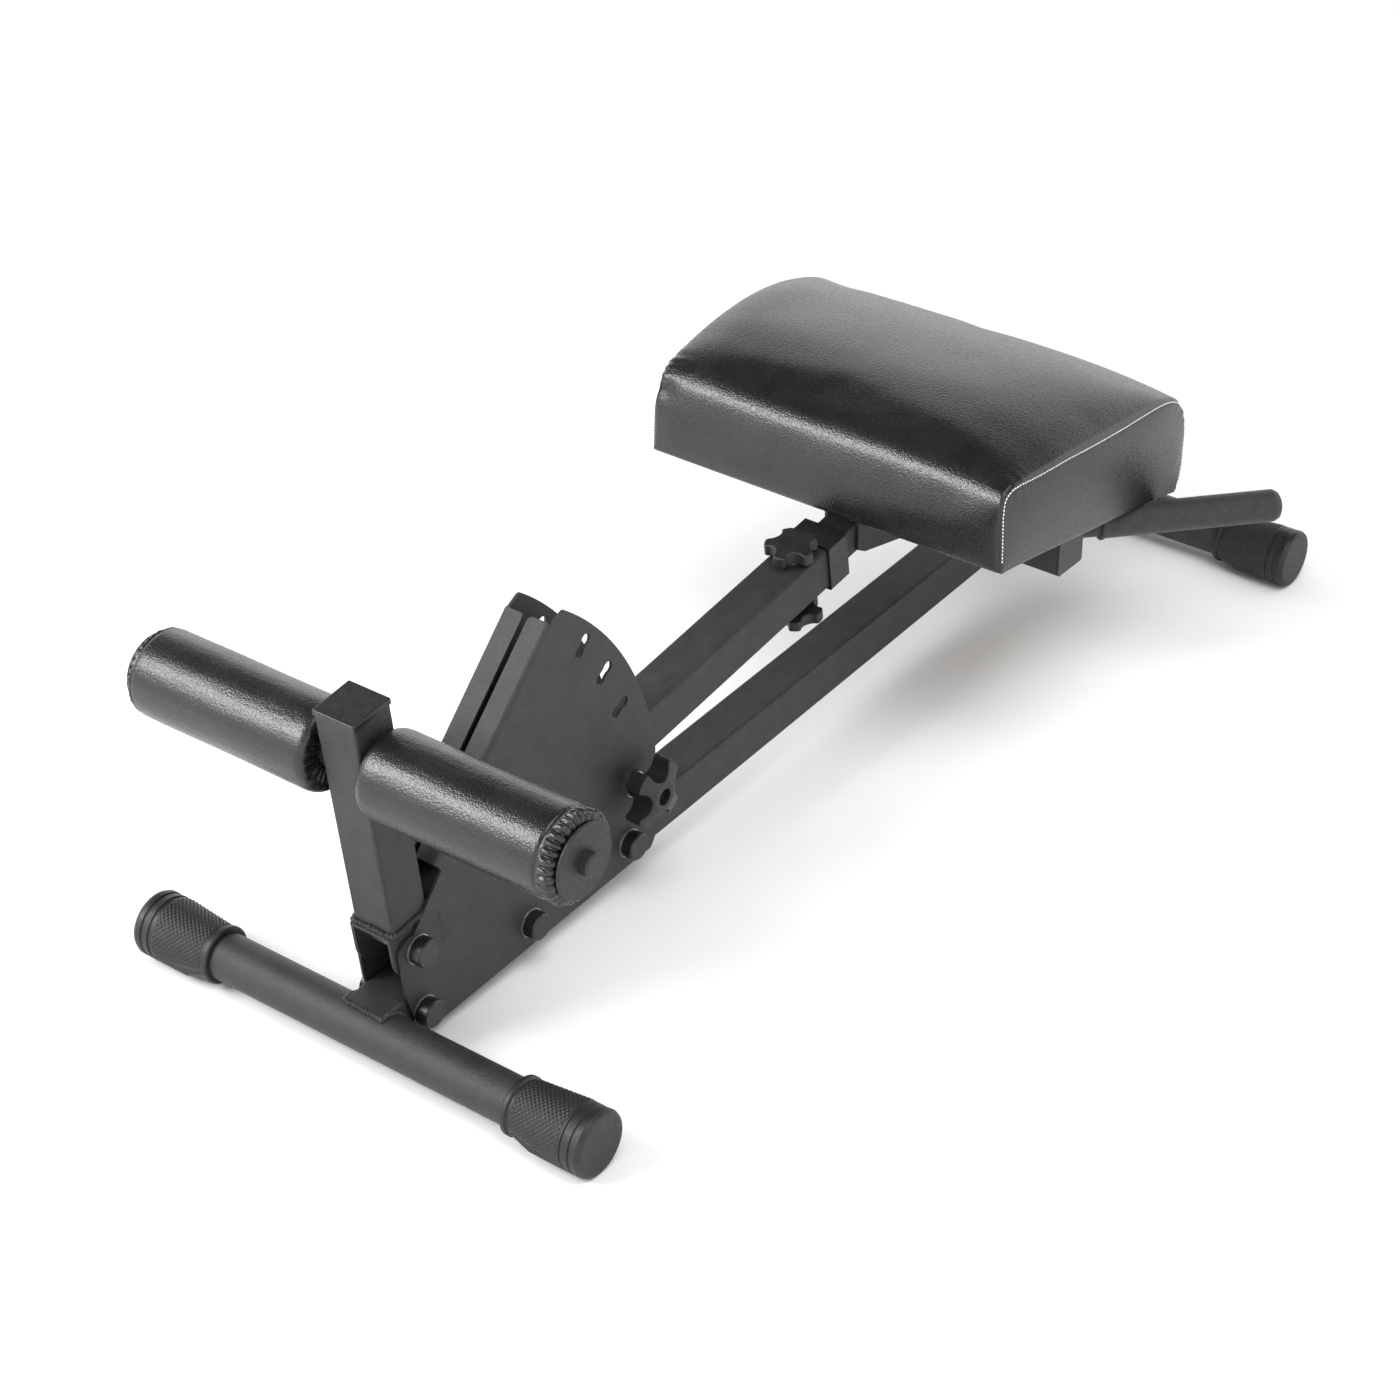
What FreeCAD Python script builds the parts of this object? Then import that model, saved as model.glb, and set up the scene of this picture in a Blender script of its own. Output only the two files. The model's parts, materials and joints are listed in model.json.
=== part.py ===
"""Adjustable back-extension bench, folded down to its lowest setting.

Frame: +X runs from the ankle-roller end to the pad end, +Y is the bench's left side, +Z is up.
The origin is on the floor, at the middle of the footprint. Every solid is in millimetres.

Three local frames hang off that one:
  base frame  x behind the front foot's axis, z above it
  arm frame   u along the pivoting arm from its pivot, w square to it
  pad frame   x along the pad's flat underside from its front edge, z square to it
"""

import FreeCAD
import Part
import math
import os

V = FreeCAD.Vector
X_AXIS, Y_AXIS, Z_AXIS = V(1, 0, 0), V(0, 1, 0), V(0, 0, 1)
SIDES = {"left": 1, "right": -1}

# ---- Feet -------------------------------------------------------------------------------------
FOOT_SPACING = 1070.0
FOOT_HALF_WIDTH = 229.0
FOOT_AXIS_HEIGHT = 27.0
FOOT_TUBE_R = 20.0
TUBE_WALL = 2.0
CAP_LENGTH = 78.0
CAP_LIP_R = 24.6
CAP_NECK_R = 22.8
CAP_END_R = 28.0
CAP_FLOOR = 4.0

# ---- Lower beam -------------------------------------------------------------------------------
BEAM = 40.0
BEAM_CORNER_R = 3.0
LOWER_BEAM_TILT = 2.85
LOWER_BEAM_LIFT = 2.6
LOWER_BEAM_START = -5.0
LOWER_BEAM_END = 1090.0
PLUG_FLANGE = 3.0
PLUG_FIT = 0.4

# ---- Arm --------------------------------------------------------------------------------------
PIVOT = (36.0, 65.0)
ARM_TILT = 8.26
ARM_TUBE_START = 28.0
ARM_TUBE_END = 551.0
BRACKET_PLATE = 3.0
BRACKET_TOP = 26.0
BRACKET_R = 24.0
UPRIGHT_TOP = 226.0
UPRIGHT_LEAN = 0.8
UPRIGHT_CAP = 5.0
UPRIGHT_PLUG = 16.0
UPRIGHT_CAP_WIDTH = 41.2

# ---- Sector plates ----------------------------------------------------------------------------
PLATE_GAP = 20.5
PLATE = 2.5
ARM_TRAVEL = 37.8
FLANGE_ANGLE = 45.7
FLANGE_REACH = (62.4, 266.3)
FLANGE_STANDOFF = 26.4
FLANGE_SLIT = 5.0
FLANGE_CORNER_R = 5.0
BEND_R = 4.5
RIM_CORNER_R = 5.0
NECK = ((61.0, 15.9), (8.0, 12.8))
EAR_R = 20.5
LOCK_RADIUS = 266.6
LOCK_REST_ANGLE = 1.66
LOCK_SLOT_ANGLES = (19.7, 29.6, 39.5)
SLOT_TILT = 6.0
SLOT_LOBE_R = 5.2
SLOT_LOBE_SPREAD = 11.0
SLOT_NECK = 8.6
HEEL = (332.5, 6.0)
RIM = ((332.5, 95.0), (293.0, 199.5), (220.0, 278.2))

# ---- Fasteners --------------------------------------------------------------------------------
M10_R, M10_HEX, M10_HEAD = 5.0, 17.0, 6.4
M8_R, M8_HEX = 4.0, 13.0
HOLE_GAP = 0.25
RUNNING_GAP = 0.06
WASHER_R, WASHER = 12.6, 1.3
BOLT_CAP_R, BOLT_CAP_HEIGHT = 12.0, 10.6
SLEEVE_R = 7.0
PIVOT_SLEEVE_R = 8.0
FRAME_BOLT_X = (39.0, 168.8, 295.5)
SADDLE_BOLT_X = (1054.0, 1084.0)
SADDLE_PLATE = 3.0
SADDLE_REACH = (32.0, 18.0)
SADDLE_FIT = 0.2

# ---- Ankle rollers ----------------------------------------------------------------------------
ROLLER_OFFSET = (3.0, 176.0)
ROLLER_BAR_R = 12.5
ROLLER_R = 36.3
ROLLER_LENGTH = 184.8
ROLLER_INNER = {"left": 26.0, "right": 21.2}
ROLLER_COVER = 1.6
ROLLER_LINER_R = 14.5
END_DISC_R = 30.0
END_DISC = 2.8
END_BUTTON_R = 9.5
END_BUTTON = 8.5

# ---- Sliding pad carrier ----------------------------------------------------------------------
SLIDER = 30.0
SLIDER_START = 378.0
SLIDER_END = 634.0
SLIDER_FIT = 0.4
PAD_TRAVEL = 100.0
CLAMP_U = 528.0
COLLAR = 45.0
COLLAR_END = 578.0
COLLAR_SPIGOT_START = 500.0
CROSS_X = 739.0
CROSS_Z = 110.5
CROSS_HALF = 155.0
HANDLE_ROOT_Y = 121.0
HANDLE_ANGLE = 41.8
HANDLE_LENGTH = 214.0
HANDLE_R = 12.5
HANDLE_WALL = 1.5
GRIP_START = 47.0
GRIP_R = 14.8

# ---- Pad --------------------------------------------------------------------------------------
PAD_FRONT = (600.3, 186.0)
PAD_TILT = -10.0
PAD_LENGTH = 308.0
PAD_HALF_WIDTH = 187.0
PAD_COVER = 1.4
BOARD = 12.0
BOARD_MARGIN = 7.0
BOARD_HALF_WIDTH = 176.0
COVER_HEM = (26.0, 30.0)
PAD_BOLTS = [(x, y) for x in (54.0, 150.0) for y in (-46.0, 46.0)]
T_NUT_R = 5.2

# ---- Star knobs -------------------------------------------------------------------------------
ANGLE_KNOB_R, ANGLE_KNOB, ANGLE_KNOB_LOBES = 30.0, 15.0, 4
ANGLE_KNOB_NOTCH_R, ANGLE_KNOB_WAIST, ANGLE_KNOB_PHASE = 12.5, 14.5, 45.0
ANGLE_KNOB_SEAT, ANGLE_KNOB_HEAD, ANGLE_KNOB_DOME = 26.0, 35.0, 6.0
ANGLE_KNOB_WELL_R = 7.4
CLAMP_KNOB_R, CLAMP_KNOB, CLAMP_KNOB_LOBES = 23.5, 10.0, 5
CLAMP_KNOB_NOTCH_R, CLAMP_KNOB_WAIST, CLAMP_KNOB_PHASE = 8.5, 15.5, 42.0
CLAMP_KNOB_SEAT, CLAMP_KNOB_DOME = 21.8, 2.5
CLAMP_KNOB_HEADS = {"top": 25.0, "bottom": 33.0}
CLAMP_HUB_R = 9.0
CLAMP_INSERT_R = 6.5


# ---- Frames -----------------------------------------------------------------------------------
def base(x, z, y=0.0):
    """A point of the base frame, in the bench's frame."""
    return V(x - FOOT_SPACING / 2, y, z + FOOT_AXIS_HEIGHT)


BEAM_FRAME = FreeCAD.Placement(base(0, LOWER_BEAM_LIFT), FreeCAD.Rotation(Y_AXIS, -LOWER_BEAM_TILT))
ARM_FRAME = FreeCAD.Placement(base(*PIVOT), FreeCAD.Rotation(Y_AXIS, -ARM_TILT))
FLANGE_FRAME = FreeCAD.Placement(base(*PIVOT), FreeCAD.Rotation(Y_AXIS, -FLANGE_ANGLE))
PAD_FRAME = FreeCAD.Placement(base(*PAD_FRONT), FreeCAD.Rotation(Y_AXIS, -PAD_TILT))


def put(shape, frame):
    """The shape, moved from a local frame into the bench's frame."""
    moved = shape.copy()
    moved.Placement = frame.multiply(moved.Placement)
    return moved


def beam_point(x):
    """The lower beam's centre line at a base-frame x, as (x, z)."""
    return x, LOWER_BEAM_LIFT + x * math.tan(math.radians(LOWER_BEAM_TILT))


def sector_point(angle, radius=LOCK_RADIUS):
    """A base-frame point on a circle round the pivot, as (x, z)."""
    turn = math.radians(angle)
    return PIVOT[0] + radius * math.cos(turn), PIVOT[1] + radius * math.sin(turn)


# ---- Building blocks --------------------------------------------------------------------------
def box(x0, x1, y0, y1, z0, z1):
    return Part.makeBox(x1 - x0, y1 - y0, z1 - z0, V(x0, y0, z0))


def rod(radius, start, end):
    return Part.makeCylinder(radius, (end - start).Length, start, end - start)


def pipe(outer, inner, start, end):
    return rod(outer, start, end).cut(rod(inner, start, end))


def cross_rod(radius, x, z, y0, y1):
    """A rod along Y through a base-frame point."""
    return rod(radius, base(x, z, y0), base(x, z, y1))


def rounded_bar(start, end, width, corner, lift=0.0):
    """A square bar along local X, with rounded long edges."""
    half = width / 2
    bar = box(start, end, -half, half, lift - half, lift + half)
    long_edges = [edge for edge in bar.Edges if abs(edge.tangentAt(edge.FirstParameter).x) > 0.99]
    return bar.makeFillet(corner, long_edges)


def square_tube(start, end, width, wall=TUBE_WALL, corner=BEAM_CORNER_R):
    outer = rounded_bar(start, end, width, corner)
    return outer.cut(rounded_bar(start - 1, end + 1, width - 2 * wall, corner / 2))


def prism(points, y0, y1, frame=None):
    """A straight-edged outline in a local XZ plane, extruded along Y."""
    corners = [V(x, y0, z) for x, z in points]
    solid = Part.Face(Part.makePolygon(corners + corners[:1])).extrude(V(0, y1 - y0, 0))
    return put(solid, frame) if frame else solid


def turned(profile, start, direction):
    """A solid of revolution: (distance along, radius) points round the line from start."""
    points = [V(distance, 0, radius) for distance, radius in profile]
    solid = Part.Face(Part.makePolygon(points + points[:1])).revolve(V(0, 0, 0), X_AXIS, 360)
    return put(solid, FreeCAD.Placement(start, FreeCAD.Rotation(X_AXIS, direction)))


def hex_prism(across, height, start, direction, bore=0.0):
    reach = across / 2 / math.cos(math.pi / 6)
    turns = [math.pi / 3 * k for k in range(6)]
    corners = [V(reach * math.cos(t), reach * math.sin(t), 0) for t in turns]
    solid = Part.Face(Part.makePolygon(corners + corners[:1])).extrude(V(0, 0, height))
    if bore:
        solid = solid.cut(Part.makeCylinder(bore, height))
    return put(solid, FreeCAD.Placement(start, FreeCAD.Rotation(Z_AXIS, direction)))


def star_head(radius, thickness, dome, lobes, phase, notch_r, waist):
    """A star knob's domed head, growing along +Z, with round notches down to a waist."""
    face = thickness + dome
    profile = [(0, 0), (0, radius), (thickness, radius), (face, radius * 0.4), (face, 0)]
    head = turned(profile, V(0, 0, 0), Z_AXIS)
    for lobe in range(lobes):
        turn = math.radians(phase + (lobe + 0.5) * 360 / lobes)
        spot = V(math.cos(turn), math.sin(turn), 0) * (waist + notch_r)
        head = head.cut(Part.makeCylinder(notch_r, face, spot))
    corners = [edge for edge in head.Edges if abs(edge.tangentAt(edge.FirstParameter).z) > 0.99]
    head = head.makeFillet(3.0, corners)
    rim = [edge for edge in head.Edges if edge.BoundBox.ZMax > 1 and edge.BoundBox.XLength > 1]
    return head.makeFillet(1.2, rim)


def save(node, *solids):
    """Write one node: one solid, or a group of separate solids."""
    shape = solids[0] if len(solids) == 1 else Part.Compound(list(solids))
    for solid in shape.Solids:
        if not solid.isValid():
            raise ValueError(node + " has a broken solid")
    if len(shape.Solids) != len(solids):
        raise ValueError(node + " has %d solids, not %d" % (len(shape.Solids), len(solids)))
    shape.exportStep("parts/" + node + ".step")


# ---- Feet -------------------------------------------------------------------------------------
def foot_tube(x):
    end = FOOT_HALF_WIDTH - CAP_FLOOR
    return pipe(FOOT_TUBE_R, FOOT_TUBE_R - TUBE_WALL, base(x, 0, -end), base(x, 0, end))


def foot_cap(x, side):
    """A flared cap over the tube's end, with a lip, two ring grooves and a flat sole."""
    bore = FOOT_TUBE_R + 0.1
    end, flat = CAP_LENGTH, CAP_LENGTH - CAP_FLOOR
    outer = [(0, CAP_LIP_R - 1.2), (1.4, CAP_LIP_R), (4.6, CAP_LIP_R), (6, CAP_NECK_R)]
    for groove in (end - 19, end - 11):
        outer += [
            (groove, CAP_END_R - 0.5), (groove + 0.6, CAP_END_R - 1.5),
            (groove + 2.4, CAP_END_R - 1.5), (groove + 3, CAP_END_R - 0.3),
        ]
    outer += [(end - 4, CAP_END_R), (end - 1, CAP_END_R - 1.4), (end, CAP_END_R - 4)]
    inner = [(end, 0), (flat, 0), (flat, bore), (0, bore)]
    mouth = base(x, 0, side * (FOOT_HALF_WIDTH - end))
    shell = turned(outer + inner, mouth, Y_AXIS * side)
    sole_profile = [
        (8, bore), (8, CAP_NECK_R + 0.4), (27, CAP_END_R), (end - 6, CAP_END_R),
        (end - 3, CAP_END_R - 1), (end - 3, bore),
    ]
    low = base(x, -9)
    keep = box(low.x - 22, low.x + 22, -FOOT_HALF_WIDTH, FOOT_HALF_WIDTH, 0, low.z)
    sole = turned(sole_profile, mouth, Y_AXIS * side).common(keep)
    floor_cut = box(low.x - 40, low.x + 40, -300, 300, -20, 0)
    return shell.fuse(sole).cut(floor_cut).removeSplitter()


def feet():
    for end, x in (("front", 0.0), ("rear", FOOT_SPACING)):
        save(end + "_foot_tube", foot_tube(x))
        for name, side in SIDES.items():
            save("%s_foot_cap_%s" % (end, name), foot_cap(x, side))


# ---- Lower beam, its rear saddle and the bolts through them -----------------------------------
def lower_beam():
    beam = put(square_tube(LOWER_BEAM_START, LOWER_BEAM_END, BEAM), BEAM_FRAME)
    beam = beam.cut(cross_rod(FOOT_TUBE_R + 0.05, 0, 0, -BEAM, BEAM))
    for x in FRAME_BOLT_X + SADDLE_BOLT_X:
        beam = beam.cut(cross_rod(SLEEVE_R + 0.05, *beam_point(x), -BEAM, BEAM))
    return max(beam.Solids, key=lambda solid: solid.Volume)


def beam_end_plug():
    inner = BEAM - 2 * TUBE_WALL - PLUG_FIT
    plug = rounded_bar(LOWER_BEAM_END, LOWER_BEAM_END + PLUG_FLANGE, BEAM, BEAM_CORNER_R)
    plug = put(plug.fuse(rounded_bar(LOWER_BEAM_END - 18, LOWER_BEAM_END, inner, 1.5)), BEAM_FRAME)
    return plug.cut(cross_rod(SLEEVE_R + 0.3, *beam_point(SADDLE_BOLT_X[-1]), -BEAM, BEAM))


def crush_sleeves():
    places = [beam_point(x) for x in FRAME_BOLT_X + SADDLE_BOLT_X]
    spans = [PLATE_GAP] * len(FRAME_BOLT_X) + [BEAM / 2 + SADDLE_FIT] * len(SADDLE_BOLT_X)
    bore = M10_R + HOLE_GAP
    return [
        pipe(SLEEVE_R, bore, base(*place, -span), base(*place, span))
        for place, span in zip(places, spans)
    ]


def rear_saddle():
    """A channel that lifts the beam off the rear foot tube, coped to sit on the tube."""
    inner = BEAM / 2 + SADDLE_FIT
    outer = inner + SADDLE_PLATE
    seat = beam_point(FOOT_SPACING)[1] - BEAM / 2
    front, rear = FOOT_SPACING - SADDLE_REACH[0], FOOT_SPACING + SADDLE_REACH[1]
    low, high = base(front, 4), base(rear, seat + BEAM / 2 + 12)
    saddle = box(low.x, high.x, -outer, outer, low.z, high.z)
    under_floor = base(FOOT_SPACING, seat - SADDLE_PLATE - 2).z
    saddle = saddle.cut(box(low.x - 1, high.x + 1, -inner, inner, low.z - 1, under_floor))
    saddle = saddle.cut(put(box(900, 1150, -inner, inner, -BEAM / 2 - 0.1, 60), BEAM_FRAME))
    saddle = saddle.cut(cross_rod(FOOT_TUBE_R + 0.05, FOOT_SPACING, 0, -BEAM, BEAM))
    for x in SADDLE_BOLT_X:
        saddle = saddle.cut(cross_rod(M10_R + HOLE_GAP, *beam_point(x), -BEAM, BEAM))
    return max(saddle.Solids, key=lambda solid: solid.Volume)


def bolt_stack(x, z, face, shank_r, across, head):
    """A bolt along Y through two faces at +-face: (bolt, nut, two washers)."""
    start = face + WASHER
    bolt = cross_rod(shank_r, x, z, -start, start + head + 1)
    bolt = bolt.fuse(hex_prism(across, head, base(x, z, -start), -Y_AXIS))
    nut = hex_prism(across, head, base(x, z, start), Y_AXIS, shank_r + 0.02)
    washers = [
        pipe(WASHER_R, shank_r + HOLE_GAP, base(x, z, side * face), base(x, z, side * start))
        for side in SIDES.values()
    ]
    return bolt, nut, washers


def bolt_cover(x, z, face, side):
    """A plastic cup pushed over a bolt head or nut."""
    height, wall = BOLT_CAP_HEIGHT, 1.9
    profile = [
        (0, BOLT_CAP_R), (height - 1.2, BOLT_CAP_R), (height, BOLT_CAP_R - 1.2), (height, 0),
        (height - wall, 0), (height - wall, BOLT_CAP_R - wall), (0, BOLT_CAP_R - wall),
    ]
    return turned(profile, base(x, z, side * (face + WASHER)), Y_AXIS * side)


def bolted_joints():
    """The four bolts of the sector plates, the two of the rear saddle, and their covers."""
    frame = [(*beam_point(x), PLATE_GAP + PLATE) for x in FRAME_BOLT_X]
    saddle = [(*beam_point(x), BEAM / 2 + SADDLE_FIT + SADDLE_PLATE) for x in SADDLE_BOLT_X]
    pivot = [(*PIVOT, PLATE_GAP + PLATE)]
    covers = {"left": [], "right": []}
    washers = []
    for node, spots in (("frame", frame), ("saddle", saddle), ("pivot", pivot)):
        stacks = [bolt_stack(*spot, M10_R, M10_HEX, M10_HEAD) for spot in spots]
        plural = "s" if len(stacks) > 1 else ""
        save(node + "_bolt" + plural, *[stack[0] for stack in stacks])
        save(node + "_nut" + plural, *[stack[1] for stack in stacks])
        washers += [washer for stack in stacks for washer in stack[2]]
        for name, side in SIDES.items():
            covers[name] += [bolt_cover(*spot, side) for spot in spots]
    save("bolt_washers", *washers)
    for name, group in covers.items():
        save("bolt_covers_" + name, *group)


def pivot_sleeve():
    return pipe(PIVOT_SLEEVE_R, M10_R + HOLE_GAP, base(*PIVOT, -PLATE_GAP), base(*PIVOT, PLATE_GAP))


# ---- Sector plates ----------------------------------------------------------------------------
def raised_point(u, w, tilt):
    """A point u along and w square to a line through the pivot at that tilt, in the base frame."""
    turn = math.radians(tilt)
    x = PIVOT[0] + u * math.cos(turn) - w * math.sin(turn)
    z = PIVOT[1] + u * math.sin(turn) + w * math.cos(turn)
    return x, z


def sector_outline():
    """The plate's edge: keel, heel, curved rim, flange line, ear round the pivot, toe."""
    keel = -BEAM / 2 - 3.0
    toe = (34.0, beam_point(34.0)[1] + keel)
    heel = (325.0, beam_point(325.0)[1] + keel)
    rim_start, rim_middle, rim_end = RIM
    flange_low, crown = [
        raised_point(reach, FLANGE_STANDOFF - BEND_R, FLANGE_ANGLE) for reach in FLANGE_REACH
    ]
    step, ear_top = [raised_point(*spot, ARM_TILT + ARM_TRAVEL) for spot in NECK]
    ear_middle = sector_point(150.0, EAR_R)
    ear_front = (PIVOT[0] - EAR_R, PIVOT[1])
    shin, ankle = (20.5, 28.0), (26.0, 6.0)
    lines = [
        (toe, heel), (heel, HEEL), (HEEL, rim_start), (rim_end, crown), (crown, flange_low),
        (flange_low, step), (step, ear_top), (ear_front, shin), (shin, ankle), (ankle, toe),
    ]
    arcs = [(rim_start, rim_middle, rim_end), (ear_top, ear_middle, ear_front)]
    edges = [Part.LineSegment(base(*start), base(*end)) for start, end in lines]
    edges += [Part.Arc(base(*start), base(*middle), base(*end)) for start, middle, end in arcs]
    return Part.Wire(Part.__sortEdges__([edge.toShape() for edge in edges]))


def lock_slot(angle):
    """A two-lobed slot through both plates, nearly in line with the pivot."""
    tilt = math.radians(angle + SLOT_TILT)
    middle = sector_point(angle)
    reach = SLOT_LOBE_SPREAD / 2
    lobes = [
        (middle[0] + end * reach * math.cos(tilt), middle[1] + end * reach * math.sin(tilt))
        for end in (-1, 1)
    ]
    neck = box(-reach, reach, -60, 60, -SLOT_NECK / 2, SLOT_NECK / 2)
    turn = FreeCAD.Rotation(Y_AXIS, -angle - SLOT_TILT)
    slot = put(neck, FreeCAD.Placement(base(*middle), turn))
    for lobe in lobes:
        slot = slot.fuse(cross_rod(SLOT_LOBE_R, *lobe, -60, 60))
    return slot


def sector_plate(side):
    inner, outer = PLATE_GAP, PLATE_GAP + PLATE
    face = Part.Face(sector_outline())
    face.translate(V(0, side * inner, 0))
    plate = face.extrude(V(0, side * PLATE, 0))
    tip = base(*RIM[2], side * (inner + PLATE / 2))
    plate = plate.makeFillet(RIM_CORNER_R, [edge_nearest(plate, tip)])
    plate = plate.fuse(bent_flange(side)).removeSplitter()
    for angle in (LOCK_REST_ANGLE,) + LOCK_SLOT_ANGLES:
        plate = plate.cut(lock_slot(angle))
    for x in FRAME_BOLT_X:
        plate = plate.cut(cross_rod(M10_R + HOLE_GAP, *beam_point(x), -60, 60))
    return plate.cut(cross_rod(M10_R + HOLE_GAP, *PIVOT, -60, 60))


def edge_nearest(shape, point):
    return min(shape.Edges, key=lambda edge: (edge.CenterOfMass - point).Length)


def bent_flange(side):
    """The plate's bend and the flange it turns into, which reaches in towards the other one."""
    outer, slit, top = PLATE_GAP + PLATE, FLANGE_SLIT / 2, FLANGE_STANDOFF
    start, end = FLANGE_REACH

    def bend(radius, turn):
        y = outer - BEND_R + radius * math.cos(turn)
        return V(start, side * y, top - BEND_R + radius * math.sin(turn))

    outside = [bend(BEND_R, turn) for turn in (0, math.pi / 4, math.pi / 2)]
    inside = [bend(BEND_R - PLATE, turn) for turn in (math.pi / 2, math.pi / 4, 0)]
    tip, under = V(start, side * slit, top), V(start, side * slit, top - PLATE)
    edges = [
        Part.Arc(*outside), Part.LineSegment(outside[-1], tip), Part.LineSegment(tip, under),
        Part.LineSegment(under, inside[0]), Part.Arc(*inside), Part.LineSegment(inside[-1], outside[0]),
    ]
    profile = Part.Face(Part.Wire([edge.toShape() for edge in edges]))
    flange = profile.extrude(V(end - start, 0, 0))
    corner = edge_nearest(flange, V(end, side * slit, top - PLATE / 2))
    return put(flange.makeFillet(FLANGE_CORNER_R, [corner]), FLANGE_FRAME)


def lock_nut():
    start = PLATE_GAP + PLATE
    spot = sector_point(LOCK_REST_ANGLE)
    return hex_prism(M8_HEX, 7.0, base(*spot, start), Y_AXIS, M8_R + RUNNING_GAP)


# ---- Arm --------------------------------------------------------------------------------------
def pivot_bracket():
    """The forked foot of the upright: two rounded ears under a top plate."""
    half, inside = BEAM / 2, BEAM / 2 - BRACKET_PLATE
    low, rear = -BEAM / 2, ARM_TUBE_START
    body = box(-BRACKET_R, rear, -half, half, 0, BRACKET_TOP)
    body = body.fuse(box(0, rear, -half, half, low, 1))
    body = body.fuse(Part.makeCylinder(BRACKET_R, BEAM, V(0, -half, 0), Y_AXIS))
    hollow = box(-60, rear + 1, -inside, inside, -60, BRACKET_TOP - BRACKET_PLATE)
    bore = Part.makeCylinder(PIVOT_SLEEVE_R + RUNNING_GAP, 80, V(0, -40, 0), Y_AXIS)
    return put(body.cut(hollow).cut(bore).removeSplitter(), ARM_FRAME)


def arm_tube():
    tube = square_tube(ARM_TUBE_START, ARM_TUBE_END, BEAM)
    hole = Part.makeCylinder(M8_R + 0.3, 80, V(CLAMP_U, 0, -40))
    return put(tube.cut(hole), ARM_FRAME)


def arm_rest_block():
    """The saddle under the arm that sits on the locking pin."""
    turn = math.radians(ARM_TILT - LOCK_REST_ANGLE)
    pin_u, pin_w = LOCK_RADIUS * math.cos(turn), -LOCK_RADIUS * math.sin(turn)
    low = pin_w + 2.6
    block = box(pin_u - 14, pin_u + 14, -17, 17, low, -BEAM / 2)
    groove = Part.makeCylinder(M8_R + 0.3, 80, V(pin_u, -40, pin_w), Y_AXIS)
    return put(block.cut(groove), ARM_FRAME)


def upright_tube():
    """The post of the ankle rollers, leaning a little away from square to the arm."""
    stand = FreeCAD.Placement(V(0, 0, 0), FreeCAD.Rotation(Y_AXIS, UPRIGHT_LEAN - 90))
    tube = put(square_tube(BRACKET_TOP - 5, UPRIGHT_TOP, BEAM), stand)
    tube = tube.cut(box(-60, 60, -60, 60, 0, BRACKET_TOP))
    u, w = ROLLER_OFFSET
    hole = Part.makeCylinder(ROLLER_BAR_R + 0.05, 80, V(u, -40, w), Y_AXIS)
    return put(tube.cut(hole), ARM_FRAME)


def upright_cap():
    half, top = UPRIGHT_CAP_WIDTH / 2, UPRIGHT_TOP + UPRIGHT_CAP
    lid = box(-half, half, -half, half, UPRIGHT_TOP, top)
    lid = lid.makeFillet(1.4, [edge for edge in lid.Edges if edge.CenterOfMass.z > UPRIGHT_TOP + 1])
    inner = BEAM / 2 - TUBE_WALL - PLUG_FIT / 2
    plug = box(-inner, inner, -inner, inner, UPRIGHT_TOP - UPRIGHT_PLUG, UPRIGHT_TOP)
    lean = FreeCAD.Placement(V(0, 0, 0), FreeCAD.Rotation(Y_AXIS, UPRIGHT_LEAN))
    return put(put(lid.fuse(plug), lean), ARM_FRAME)


def roller_bar():
    u, w = ROLLER_OFFSET
    left, right = [ROLLER_INNER[name] + ROLLER_LENGTH - 0.3 for name in SIDES]
    bar = pipe(ROLLER_BAR_R, ROLLER_BAR_R - TUBE_WALL, V(u, -right, w), V(u, left, w))
    return put(bar, ARM_FRAME)


def roller_end_plug(name, side):
    """A flanged plug in the bar's end that keeps the roller on."""
    u, w = ROLLER_OFFSET
    stem, face = 22.0, 22.3 + END_DISC
    tip = face + END_BUTTON
    profile = [
        (0, 0), (0, ROLLER_BAR_R - TUBE_WALL - 0.1), (stem, ROLLER_BAR_R - TUBE_WALL - 0.1),
        (stem, END_DISC_R - 0.8), (stem + 0.8, END_DISC_R), (face - 0.8, END_DISC_R),
        (face, END_DISC_R - 0.8), (face, END_BUTTON_R), (tip - 1.5, END_BUTTON_R),
        (tip, END_BUTTON_R - 1.5), (tip, 0),
    ]
    start = V(u, side * (ROLLER_INNER[name] + ROLLER_LENGTH + 0.2 - stem), w)
    return put(turned(profile, start, Y_AXIS * side), ARM_FRAME)


def roller_layer(name, side, profile):
    u, w = ROLLER_OFFSET
    start = V(u, side * ROLLER_INNER[name], w)
    return put(turned(profile, start, Y_AXIS * side), ARM_FRAME)


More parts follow.
